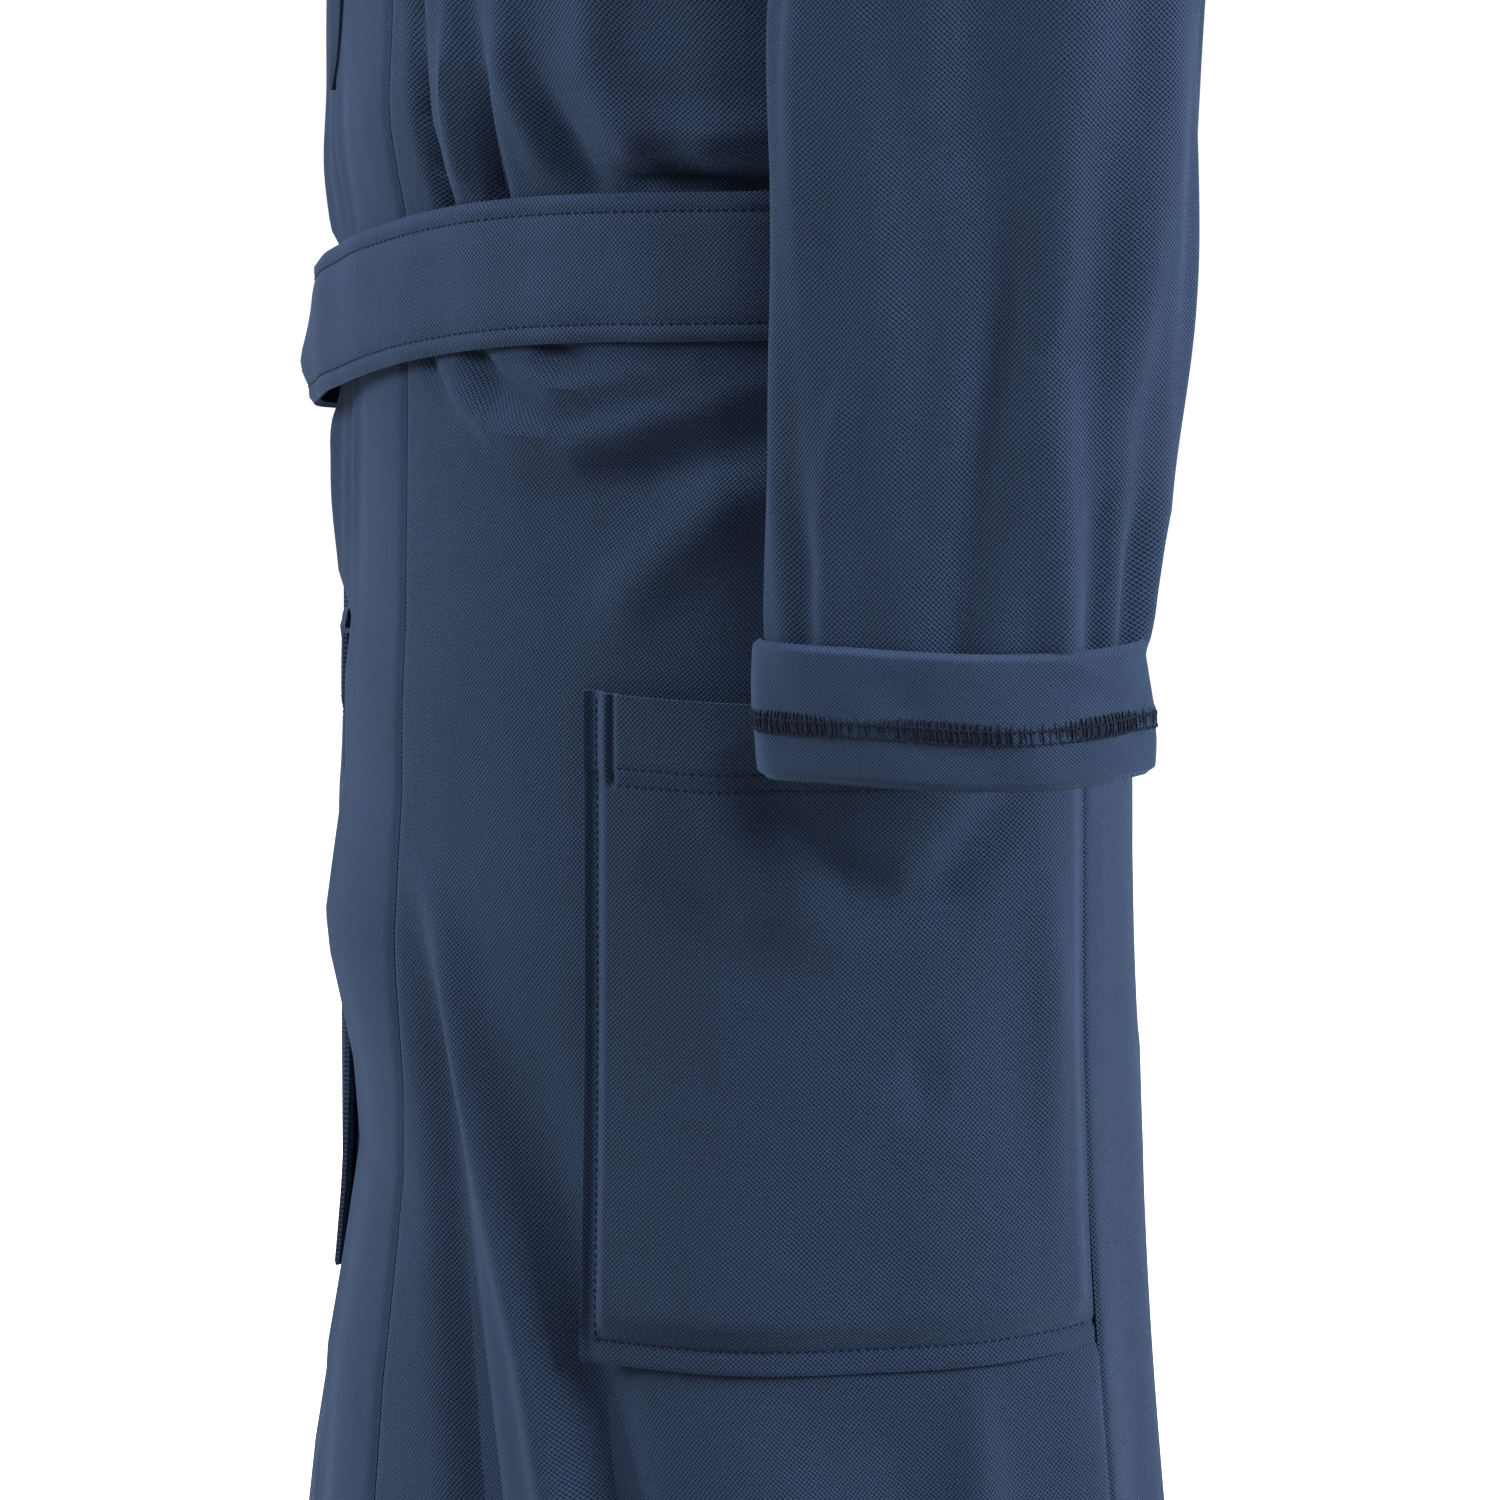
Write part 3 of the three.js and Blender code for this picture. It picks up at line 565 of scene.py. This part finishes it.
def leaf_place(u, v, start, covers):
    fold = np.clip(1 - v / 0.35, 0, None) ** 2
    k = np.clip(u / 0.62, 0, 1)
    drop = mix(start, 0, k)
    rising = 1 - true_drop(drop) / start
    wide = mix(1.5, 75, np.sin(np.clip(rising * 1.1, 0, 1) * np.pi / 2))
    edge_x = section_half(drop)[0] * np.cos(np.radians(edge_line(drop)))
    angle = front_angle(edge_x + v * wide, drop)
    rolled = -1.2 * (1 - ease((1 - v) * wide / 4)) + 1.2 * np.sin(np.pi * np.clip(v, 0, 1))
    swell = 1.1 * np.sin(u * 37 + 1) * v * ease(u * 5)
    layer = (5.2 if covers else 4.0) + rolled + swell
    foot = ease(u * 7)
    part = form(angle, drop, mix(1.0, layer - 0.8, foot) + front_rise(angle, drop, covers))
    part[..., 2] += fold * 9 * ease((k - 0.55) / 0.45)
    turn = np.clip((u - 0.62) / 0.38, 0, 1) * np.pi / 2
    x = (neck_wide + v * 75) * np.cos(turn) + 0.2
    y = ridge_deep + (neck_deep - ridge_deep + v * 59) * np.sin(turn)
    closed = closing_at(x, y)
    wide, deep = section_half(chest_drop * (1 - closed))
    angle = np.degrees(np.arctan2(y / deep, x / wide))
    behind = form(angle, chest_drop * (1 - closed), layer)
    behind[..., 0] = np.maximum(behind[..., 0], 0.2)
    behind[..., 2] += fold * mix(9, 26, np.sin(turn))
    points = np.where((u <= 0.62)[..., None], part, behind)
    return points * (1 if covers else -1, 1, 1)


for side, covers, start in (("left", True, 392), ("right", False, 262)):
    collar = cloth(f"{side}_collar_cloth", np.linspace(0, 1, 190), edged(22, 75),
                   lambda u, v: leaf_place(u, v, start, covers), 0.003, band_navy)
    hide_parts(f"{side}_collar")
    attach(collar, "robe")

# ---- Neck tape and hanger loop ----
# A woven tape covers the seam inside the back neck, and a loop of narrower tape is sewn to it
# so that the robe can hang from a hook.


def tape_place(u, v):
    angle = mix(75, 105, u)
    closed = neck_closing(angle) - 0.012 - (1 - v) * 14 / chest_drop * 1.2
    return form(angle, chest_drop * (1 - closed), -4.7)


# Yarn colour, then the painted shade colour of the weave's hollows.
tape_weave = pique("neck_tape_weave", (0.034, 0.053, 0.095), (0.012, 0.019, 0.037),
                   0.0009, 0.00018, 0.8, 0.15)
neck_tape = cloth("neck_tape_cloth", np.linspace(0, 1, 40), np.linspace(0, 1, 8), tape_place,
                  0.0012, tape_weave)
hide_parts("neck_tape")
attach(neck_tape, "robe")

loop_low, loop_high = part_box("hanger_loop")
loop_half = (loop_high.x - loop_low.x) * 500
loop_rise = (loop_high.z - loop_low.z) * 1000
loop_foot = np.array(loop_low) * 1000 - frame_shift


def hanger_place(u, v):
    turn = np.pi * u
    x = loop_half * np.cos(turn) * (1 + 0.02 * np.sin(turn * 3))
    y = loop_foot[1] + mix(0.2, 7.8, v) + 0 * u
    z = loop_foot[2] + loop_rise * np.sin(turn)
    return np.stack([x, y, z], -1)


hanger = cloth("hanger_loop_tape", np.linspace(0, 1, 60), np.linspace(0, 1, 7), hanger_place, 0, tape_weave)
bpy.context.view_layer.objects.active = hanger
wall = hanger.modifiers.new("thickness", "SOLIDIFY")
wall.thickness = 0.0015
wall.offset = 0
bpy.ops.object.modifier_apply(modifier=wall.name)
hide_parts("hanger_loop")
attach(hanger, "robe")

# ---- Sleeves ----
# Each sleeve is a wide tube of pique set into the armhole. It hangs straight down in front of
# the hip, a little flattened, with long soft folds that run down into the cuff.
turned = math.radians(46)
sleeve_out = np.array((math.sin(turned), -math.cos(turned), 0))
sleeve_front = np.array((-math.cos(turned), -math.sin(turned), 0))
cuff_drop, cuff_tall = 601.5, 43.5
sleeve_sections = np.array([
    (206, -6, -179, 22, -3, 81, -4, -62, -6),
    (213, -22, -215, 30, -9, 52, -14, -62, -10),
    (208, -48, -278, 32, -22, 20, -32, -60, -4),
    *[(x, y, -drop, *(sleeve_out * thick), *(sleeve_front * wide)) for x, y, drop, thick, wide in (
        (200, -75, 335, 35, 71), (199, -81, 440, 34, 69), (197, -87, 513, 32, 64),
        (196, -90, cuff_drop, 31, 60.5))],
])
arm_turn = {"left": (1, 1, 1), "right": (-1, -1, 1)}
armhole_drops = np.concatenate([np.linspace(245, 170, 5), np.linspace(170, 0, 7)[1:]])


def section_at(place):
    """Sleeve section at a place from 1 to 7, smoothly through the set ones."""
    known = np.vstack([2 * sleeve_sections[0] - sleeve_sections[1], sleeve_sections,
                       2 * sleeve_sections[-1] - sleeve_sections[-2]])
    i = np.clip(np.floor(place).astype(int), 1, len(sleeve_sections) - 1)
    k = (place - i)[..., None]
    a, b, c, d = (known[i + n] for n in (-1, 0, 1, 2))
    bend, twist = 2 * a - 5 * b + 4 * c - d, 3 * b - a - 3 * c + d
    return 0.5 * (2 * b + (c - a) * k + bend * k ** 2 + twist * k ** 3)


def ring_at(turn, place, rise):
    section = section_at(place)
    middle, out, front = section[..., :3], section[..., 3:6], section[..., 6:]
    out_long = np.linalg.norm(out, axis=-1, keepdims=True)
    front_long = np.linalg.norm(front, axis=-1, keepdims=True)
    a = (turn * 2 * np.pi)[..., None]
    rise = np.broadcast_to(rise, turn.shape)[..., None]
    return (middle - np.cos(a) * out * (1 + rise / out_long) + np.sin(a) * front * (1 + rise / front_long))


def armhole_at(turn):
    face = np.where(turn <= 0.5, -1, 1)
    climb = np.where(turn <= 0.5, turn * 2, (1 - turn) * 2)
    drop = np.interp(climb * 10, np.arange(11), armhole_drops)
    points = form(side_line(drop, face), drop)
    points[..., 0] -= 0.9
    return points


# Sleeve creases: turn round the sleeve in degrees (180 faces out, 90 forward), drop, height
sleeve_creases = [
    (22, [(168, 300, 0), (170, 345, -4), (170, 395, -4), (166, 480, 0)]),
    (9, [(190, 290, 0), (191, 410, -3), (184, 480, -5), (182, 560, -4)]),
    (10, [(199, 290, 0), (199, 345, 3), (198, 455, 4), (191, 560, 3)]),
    (7, [(153, 450, 0), (148, 475, -1.4), (142, 510, 0)]),
    (5, [(147, 455, 0), (141, 480, 2.2), (135, 520, 0)]),
    (6, [(205, 435, 0), (200, 460, -1.7), (192, 490, 0)]),
    (8, [(204, 460, 0), (206, 490, 3), (211, 560, 3)]),
    (7, [(222, 490, 0), (224, 515, -3), (226, 560, -3)]),
    (6, [(246, 500, 0), (245, 525, -2.6), (244, 560, -2.6)]),
    (8, [(120, 500, 0), (124, 530, -2), (125, 560, -2)]),
    (9, [(225, 300, 0), (228, 360, 2.5), (228, 430, 2.5), (230, 480, 0)]),
    (16, [(268, 300, -2.5), (268, 345, -3.5), (268, 445, 0), (268, 515, 3), (268, 545, 1.4)]),
    (14, [(20, 320, 0), (15, 420, 4), (20, 520, 4), (15, 560, 3)]),
    (12, [(330, 330, 0), (335, 430, -4), (325, 540, -4)]),
]
sleeve_along = np.cumsum([0, 70, 38, 66, 60, 105, 73, 88]) / 500
sleeve_places = np.interp(np.linspace(0, 1, 170), sleeve_along, np.arange(8))


def sleeve_place(u, v, side):
    start = armhole_at(u) if side == "left" else armhole_at(1 - u) * (-1, 1, 1)
    place = np.maximum(v * 7, 1)
    middle = ring_at(u, place, 0)
    drop = -middle[..., 2]
    rise = 1.4 * creased(u * 360, drop, sleeve_creases, 1.0)
    turn = u * 2 * np.pi
    rise = rise + 0.9 * np.sin(9 * turn + drop * 0.021) + 0.6 * np.sin(15 * turn - drop * 0.03 + 1)
    rise = rise * ease((v * 7 - 0.6) / 1.4)
    rise = np.where(rise > 0, rise * mix(1, 0.3, ease((drop - 545) / 30)), rise)
    rise = mix(rise, np.minimum(rise, -0.4), ease((drop - 556) / 6))
    points = ring_at(u, place, rise) * arm_turn[side]
    share = np.clip(v * 7, 0, 1)[..., None]
    points = mix(start, points, share)
    return points + seam_turn(v * 7 * 70, 1.0)[..., None] * (0.7 * arm_turn[side][0], 0, 0)


for side in ("left", "right"):
    out = 1 if side == "left" else -1
    sleeve = cloth(f"{side}_sleeve_cloth", np.linspace(0, 1, 145), sleeve_places / 7,
                   lambda u, v: sleeve_place(u, v, side), cloth_thick, navy,
                   (199 * out, -81 * out), closed=True)
    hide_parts(f"{side}_sleeve")
    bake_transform(sleeve)

# ---- Cuffs ----
# Each sleeve end is turned up outside in a cuff, which shows the smoother back of the knit. The
# fold is at the bottom, and the top edge stands a little off the sleeve.
cuff_creases = [
    (24, [(268, 558, -6), (268, 575, -3), (268, 590, 0), (268, 603, 1)]),
    (7, [(105, 570, 1), (112, 590, 1.6), (118, 604, 0)]), (6, [(160, 558, 1), (166, 575, -1),
         (170, 592, 0)]),
    (6, [(212, 558, 0), (226, 570, -1.8), (244, 582, -1.6)]), (5, [(206, 556, 1.2), (222, 566, 1.6),
         (238, 576, 1)]),
    (8, [(190, 575, 0), (200, 590, 1.4), (210, 602, 1)]), (7, [(250, 560, 1), (256, 580, 1.5),
         (262, 600, 1)]),
]
cuff_heights = np.concatenate([np.linspace(-0.4, 2, 5), np.linspace(3.5, 40, 26), np.linspace(41, 44, 6)])


def cuff_ring(u, height, rise):
    return ring_at(u, 7 - height / 88.5, rise)


def cuff_place(u, v, side):
    height = np.interp(v, np.linspace(0, 1, len(cuff_heights)), cuff_heights)
    rise = 4.1 - 2.4 * (1 - ease((height + 0.4) / 2.6)) - 2.0 * (1 - ease((44 - height) / 2.2))
    rise = rise - 0.5 * ease((16 - height) / 1.5) + 0.9 * np.clip(np.sin(np.pi * height / 44), 0, 1) ** 0.5
    fade = ease((44 - height) / 6) * 0.6 + 0.4
    rise = rise + fade * creased(u * 360, cuff_drop - height, cuff_creases, 1.0)
    rise = rise + 0.35 * np.sin(u * 2 * np.pi * 7 + height * 0.1)
    points = cuff_ring(u, height, rise)
    sag = 0.8 * np.sin(u * 2 * np.pi * 3 + 0.5)
    points[..., 2] += sag
    return points * arm_turn[side]


# ---- Overlocked seam round each cuff ----
# The raw edge inside the turn-up is overlocked in darker thread: close upright loops over the
# edge, with a looped chain along the bottom. It stands a little proud of the cuff.
overlock_dark = bpy.data.materials.new("overlock_thread")
overlock_dark.use_nodes = True
tree = overlock_dark.node_tree
surface = tree.nodes["Principled BSDF"]
place_of = add_node(tree, "TexCoord").outputs["Object"]
strand = add_node(tree, "TexNoise", Vector=place_of, Scale=900.0, Detail=3.0).outputs[0]
tone = add_node(tree, "Mix", [("data_type", "RGBA")], i0=strand,
                i6=(0.004, 0.007, 0.015, 1), i7=(0.017, 0.027, 0.053, 1)).outputs[2]
tree.links.new(tone, surface.inputs["Base Color"])
tree.links.new(add_node(tree, "MapRange", Value=strand, To_Min=0.55, To_Max=0.85).outputs[0],
               surface.inputs["Roughness"])
tree.links.new(add_node(tree, "Bump", Height=strand, Strength=0.4, Distance=0.0002).outputs[0],
               surface.inputs["Normal"])
surface.inputs["Specular IOR Level"].default_value = 0.1


def threads(name, lines, radius, finish, closed=False):
    """Sewing thread as round strands, one for each line of points in millimetres."""
    curve = bpy.data.curves.new(name, "CURVE")
    curve.dimensions = "3D"
    curve.bevel_depth = radius / 1000
    curve.bevel_resolution = 1
    for line in lines:
        line = (np.asarray(line) + frame_shift) / 1000
        spline = curve.splines.new("POLY")
        spline.points.add(len(line) - 1)
        spline.points.foreach_set("co", np.concatenate([line, np.ones((len(line), 1))], 1).ravel())
        spline.use_cyclic_u = closed
    piece = bpy.data.objects.new(name, curve)
    scene.collection.objects.link(piece)
    bpy.ops.object.select_all(action="DESELECT")
    piece.select_set(True)
    bpy.context.view_layer.objects.active = piece
    bpy.ops.object.convert(target="MESH")
    piece = bpy.context.object
    piece.name = name
    bpy.ops.object.shade_smooth()
    piece.data.materials.clear()
    piece.data.materials.append(finish)
    return piece


def overlock_place(u, v, side):
    height = mix(15.6, 22.6, v)
    rise = 4.7 + 0.5 * np.sin(np.pi * v) + 0.2 * np.sin(u * 2 * np.pi * 115)
    points = cuff_ring(u, height, rise + creased(u * 360, cuff_drop - height, cuff_creases, 1.0))
    points[..., 2] += 0.8 * np.sin(u * 2 * np.pi * 3 + 0.5) + 0.3 * np.sin(u * 2 * np.pi * 5)
    return points * arm_turn[side]


for side in ("left", "right"):
    middle = (196, -90) if side == "left" else (-196, 90)
    cuff = cloth(f"{side}_cuff_cloth", np.linspace(0, 1, 161), np.linspace(0, 1, len(cuff_heights)),
                 lambda u, v: cuff_place(u, v, side), 0.0017, band_navy, middle, closed=True)
    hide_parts(f"{side}_cuff")
    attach(cuff, f"{side}_arm")

    strip = cloth(f"{side}_overlock_edge", np.linspace(0, 1, 461), np.linspace(0, 1, 6),
                  lambda u, v: overlock_place(u, v, side), 0.0009, overlock_dark, middle, closed=True)
    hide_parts(f"{side}_cuff_overlock")
    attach(strip, f"{side}_arm")

    loops = []
    count = 196
    for n in range(count):
        lean = 0.25 * math.sin(n * 2.3)
        turns = (n + np.array((0.1, 0.05, 0.2 + lean, 0.45 + lean, 0.5))) / count
        heights = np.array((1.06, 0.97, 0.62, 0.2, -0.03))
        line = overlock_place(turns % 1, heights, side)
        away = line - np.array((*middle, 0)) * (1, 1, 0)
        away[:, 2] = 0
        away /= np.linalg.norm(away, axis=1, keepdims=True)
        loops.append(line + away * np.array((-0.5, 0.3, 0.45, 0.4, -0.4))[:, None])
    chain = np.arange(count * 4) / (count * 4)
    for level, swing in ((0.04, 0.07), (0.66, 0.05)):
        line = overlock_place(chain, level + swing * np.sin(chain * 2 * np.pi * count), side)
        away = line - np.array((*middle, 0)) * (1, 1, 0)
        away[:, 2] = 0
        away /= np.linalg.norm(away, axis=1, keepdims=True)
        loops.append(line + away * 0.5)
    loops = threads(f"{side}_overlock_loops", loops, 0.26, overlock_dark)
    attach(loops, f"{side}_arm")

# ---- Patch pockets ----
# A large square patch of pique on each front: a turned hem at the mouth with two stitch rows, a
# raised lip where the side is sewn down, and the outer side caught into the side seam.
pocket_creases = [
    (11, [(-50, 600, 0), (-44, 630, -4), (-36, 650, -5), (-28, 655, -3), (-22, 650, -4), (-9, 610, -1)]),
    (12, [(-53, 610, 1), (-44, 655, 3), (-30, 680, 0)]),
    (10, [(-62, 640, 0), (-54, 660, -2), (-48, 690, 0)]),
    (10, [(-6, 615, 0), (-5, 690, 2.5), (-5, 800, 0)]),
    (8, [(-26, 700, 0), (-26, 718, -1.6), (-26, 735, 0)]),
]


def pocket_rise(angle, drop, covers):
    front = pocket_front if covers else -180 + 122 + 2
    lip = (angle - front) * 2.75
    rim = (pocket_back - angle) * 2.25
    foot = pocket_drop + pocket_tall - drop
    mouth = drop - pocket_drop
    face = ease((lip - 3.4) / 5.6) * ease((foot - 7.6) / 12) * ease(rim / 12)
    full = 1 if covers else 0.35
    rise = 2.3 + 2.1 * np.exp(-(lip / 1.4) ** 2) + 4.6 * full * face
    rise = rise - 1.1 * np.exp(-((foot - 8.2) / 1.3) ** 2) * ease((lip - 3) / 4)
    rise = rise - 2.2 * np.exp(-((lip - 10.8) / 1.3) ** 2) * ease((33 - mouth) / 3)
    rise = rise + 0.7 * ease((29 - mouth) / 3)
    for row in (25, 31):
        rise = rise - 0.45 * np.exp(-((mouth - row) / 0.9) ** 2) * ease((lip - 11) / 3)
    rise = rise + 1.6 * full * ease((34 - mouth) / 34) * np.sin(np.pi * np.clip((angle - front) / 82, 0, 1))
    folds = creased(angle, drop, pocket_creases) * ease((lip - 12) / 12) * ease(foot / 20)
    rise = rise + 1.6 * full * folds
    if not covers:
        rise = rise + np.minimum(creased(-180 - angle, drop, right_creases), 0)
    return rise - 0.8 * (1 - ease(foot / 1.6))


def pocket_place(u, v, covers):
    drop = pocket_drop + pocket_tall * (1 - v) + 1.2 * np.sin(np.pi * u) * ease((v - 0.8) / 0.2)
    front = pocket_front if covers else -180 + 122 + 2
    angle = mix(front, pocket_back, u)
    cover = cover_rise(angle, drop) if covers else 0
    points = form(angle, drop, pocket_rise(angle, drop, covers) + cover)
    return points * (1 if covers else -1, 1, 1)


pocket_across = np.concatenate([np.linspace(0, 15, 22), np.linspace(15, 205, 84)[1:]]) / 205
pocket_up = np.concatenate([
    np.linspace(0, 16, 16), np.linspace(16, 196, 80)[1:], np.linspace(196, 233, 34)[1:]]) / 233
for side, covers in (("left", True), ("right", False)):
    pocket = cloth(f"{side}_pocket_cloth", pocket_across, pocket_up,
                   lambda u, v: pocket_place(u, v, covers), cloth_thick, navy)
    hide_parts(f"{side}_pocket")
    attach(pocket, "robe")

# ---- Belt round the waist ----
# A doubled strip, 50 mm wide, edge stitched. It goes once round the waist over the left front,
# drops past the front edge and is tied on the wearer's right hip.
# Yarn colour, then the painted shade colour of the belt knit's hollows.
belt_navy = pique("belt_pique", (0.042, 0.072, 0.147), (0.009, 0.016, 0.036), 0.00168, 0.00046, 1.0, 0.27)


def belt_seat(angle):
    away = (np.asarray(angle, float) + 180) % 360 - 180
    return overlap_rise * ease((-30 - away) / 24) * ease((away + 165) / 42)


def belt_flare(angle, up):
    away = (np.asarray(angle, float) + 180) % 360 - 180
    return 9.5 * np.exp(-((away + 146) / 13) ** 2) * ease((0.86 - up) / 0.62) * mix(0.45, 1, ease(up / 0.4))


def belt_rise(angle, up):
    edge = np.minimum(up, 1 - up) * 50
    wave = 0.5 * np.sin(np.radians(angle) * 17 + 3 * up) + 0.35 * np.sin(np.radians(angle) * 29 + 1)
    rise = 4.0 - 1.6 * (1 - ease(edge / 2.2)) - 0.55 * np.exp(-((edge - 6.2) / 0.9) ** 2)
    rise = rise + 0.7 * ease((edge - 6.5) / 6) + wave * 0.8
    return rise + belt_seat(angle) + belt_flare(angle, up)


def belt_place(u, v):
    angle = 13.6 - 360 * u
    middle = belt_middle(angle) + 0.8 * np.sin(np.radians(angle) * 5)
    return form(angle, middle + 50 * (0.5 - v), belt_rise(angle, v))


belt_rim = np.array((0, 1, 2.2, 4, 5.2, 6.2, 7.2, 9, 12, 16, 20)) / 50
belt_up = np.concatenate([belt_rim, [0.5], 1 - belt_rim[::-1]])
belt = cloth("belt_waist_cloth", np.linspace(0, 1, 361), belt_up, belt_place, 0.003, belt_navy, closed=True)
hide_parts("belt_waist")
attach(belt, "robe")

# ---- Belt knot ----
# The belt is tied in a plain overhand knot on the wearer's right hip: one flat strap that goes
# over and under itself and is pulled tight.
knot_low, knot_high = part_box("belt_knot")
knot_middle = (np.array(knot_low) + np.array(knot_high)) * 500 - frame_shift


def knot_place(u, v):
    t, a = u * 2 * np.pi, v * 2 * np.pi

    def line(t):
        return np.stack([8.5 * np.sin(3 * t) + 0 * t, 5.0 * (np.sin(t) + 2 * np.sin(2 * t)),
                         4.5 * (np.cos(t) - 2 * np.cos(2 * t))], -1)
    along = line(t + 0.01) - line(t - 0.01)
    along /= np.linalg.norm(along, axis=-1, keepdims=True)
    flat = np.cross(along, np.array((1.0, 0, 0)))
    flat /= np.linalg.norm(flat, axis=-1, keepdims=True)
    out = np.cross(flat, along)
    crease = 1 + 0.1 * np.cos(3 * a + t)
    return knot_middle + line(t) + flat * (8.6 * np.cos(a) * crease)[..., None] + out * (
        5.2 * np.sin(a) * crease)[..., None]


knot = cloth("belt_knot_cloth", np.linspace(0, 1, 181), np.linspace(0, 1, 33), knot_place, 0, belt_navy,
             knot_middle[:2], closed=True)
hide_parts("belt_knot")
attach(knot, "robe")

# ---- Hanging belt ends ----
# The two ends come out of the bottom of the knot gathered, open to their full width and hang
# down beside the hip, the longer one next to the skirt and the shorter one outside it.


def end_place(u, v, box, lean):
    low, high = box
    middle = (low + high) / 2
    fall = (1 - v) * (high[2] - low[2] + 9)
    spread = ease((fall - 6) / 78)
    half = mix(12.5, 24.6, spread)
    across = (u - 0.5) * 2
    x = middle[0] + 1.9 + 1.1 * np.cos(across * np.pi * 2.5) * (1 - spread)
    x = x + 0.7 * np.sin(fall * 0.021 + lean) * spread
    edge = (1 - np.abs(across)) * half
    x = x + 0.5 * np.exp(-((edge - 6.2) / 1.0) ** 2) * spread
    y = middle[1] + across * half + 2 * np.sin(fall * 0.012 + lean) * spread
    z = high[2] + 9 - fall + 0.8 * np.abs(across)
    return np.stack([x, y, z], -1)


for name, lean, length in (("long", 0, 0.39), ("short", 0.4, 0.33)):
    low, high = (np.array(corner) * 1000 - frame_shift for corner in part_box(f"belt_{name}_end"))
    end = cloth(f"belt_{name}_end_cloth", belt_up, np.linspace(0, 1, 120),
                lambda u, v: end_place(u, v, (low, high), lean), 0.0032, belt_navy, (-2000, 0))
    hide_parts(f"belt_{name}_end")
    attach(end, f"belt_{name}")

# ---- Belt loops ----
# A narrow loop on each side seam holds the belt up. It is sewn flat at its top and bottom and
# stands off the belt in between.


def belt_loop_place(u, v, angle):
    top, bottom = form(angle, 451 - 46.0), form(angle, 451 + 46.0)
    wide, deep = form_half(451)
    out = np.array((np.cos(np.radians(angle)) / wide, np.sin(np.radians(angle)) / deep, 0))
    out /= np.linalg.norm(out)
    across = np.cross(out, (0, 0, 1))
    reach = np.minimum(v, 1 - v) * 92
    stand = 1.9 + 7.2 * ease(reach / 9) + 0.5 * np.sin(np.pi * v)
    return (mix(bottom, top, v[..., None]) + stand[..., None] * out + ((u - 0.5) * 10)[..., None] * across)


for side, angle in (("left", 13.6), ("right", 166.4)):
    loop = cloth(f"{side}_belt_loop_cloth", np.linspace(0, 1, 9), np.linspace(0, 1, 60),
                 lambda u, v: belt_loop_place(u, v, angle), 0.0015, belt_navy)
    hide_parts(f"{side}_belt_loop")
    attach(loop, "robe")

# ---- Topstitching ----
# Lockstitch in thread a little darker than the knit, each stitch sunk at its ends: two rows on
# the belt, two at each pocket mouth, one round each pocket and one row above the hem.
stitch_navy = bpy.data.materials.new("topstitch_thread")
stitch_navy.use_nodes = True
tree = stitch_navy.node_tree
surface = tree.nodes["Principled BSDF"]
place_of = add_node(tree, "TexCoord").outputs["Object"]
strand = add_node(tree, "TexNoise", Vector=place_of, Scale=1200.0, Detail=2.0).outputs[0]
tone = add_node(tree, "Mix", [("data_type", "RGBA")], i0=strand,
                i6=(0.003, 0.006, 0.015, 1), i7=(0.012, 0.021, 0.046, 1)).outputs[2]
tree.links.new(tone, surface.inputs["Base Color"])
tree.links.new(add_node(tree, "MapRange", Value=strand, To_Min=0.5, To_Max=0.8).outputs[0],
               surface.inputs["Roughness"])
surface.inputs["Specular IOR Level"].default_value = 0.1


def sewn(name, rows, body, place, pitch=3.0):
    """Stitches along rows of (u, v) on a piece laid out by place."""
    lines = []
    for row in rows:
        row = np.asarray(row, float)
        dense = np.linspace(0, len(row) - 1, 60 * (len(row) - 1) + 1)
        path = np.stack([np.interp(dense, np.arange(len(row)), row[:, k]) for k in (0, 1)], -1)
        points = place(path[:, 0][None], path[:, 1][None])[0]
        far = np.concatenate([[0], np.cumsum(np.linalg.norm(np.diff(points, axis=0), axis=1))])
        for start in np.arange(0, far[-1] - pitch, pitch):
            at = start + np.array((0.2, 0.5, 0.5 * pitch, pitch - 1.1, pitch - 0.8))
            where = np.stack([np.interp(at, far, path[:, k]) for k in (0, 1)], -1)
            spot = place(where[:, 0][None], where[:, 1][None])[0]
            near = place((where[:, 0] + 1e-4)[None], where[:, 1][None])[0] - spot
            over = place(where[:, 0][None], (where[:, 1] + 1e-4)[None])[0] - spot
            normal = np.cross(near, over)
            normal /= np.linalg.norm(normal, axis=1, keepdims=True)
            if (normal[2, :2] @ (spot[2, :2] - body)) < 0:
                normal = -normal
            lines.append(spot + normal * np.array((-0.4, 0.12, 0.3, 0.12, -0.4))[:, None])
    return threads(name, lines, 0.3, stitch_navy)


rows = [[(k, level) for k in np.linspace(0, 1, 17)] for level in (6.2 / 50, 43.8 / 50)]
stitches = sewn("belt_waist_stitches", rows, (0, 0), belt_place)
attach(stitches, "robe")

for side, covers in (("left", True), ("right", False)):
    mouth = [[(12.5 / 205, 1 - row / 233), (0.5, 1 - row / 233), (0.99, 1 - row / 233)] for row in (25, 31)]
    foot = 8.2 / 233
    lip = [[(4.0 / 205, 0.99), (4.0 / 205, 0.5), (4.6 / 205, foot), (0.5, foot), (0.985, foot)]]
    stitches = sewn(f"{side}_pocket_stitches", mouth + lip, (0, 0),
                    lambda u, v: pocket_place(u, v, covers))
    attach(stitches, "robe")

hem_row = np.interp(hem_drop - 22, (chest_drop, hem_drop), (0.84, 0))
for name, place in (("back", back_place), ("left_front", lambda u, v: front_place(u, v, True)),
                    ("right_front", lambda u, v: front_place(u, v, False))):
    row = [(k, hem_row) for k in np.linspace(0.01, 0.99, 9)]
    stitches = sewn(f"{name}_hem_stitches", [row], (0, 0), place)
    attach(stitches, "robe")
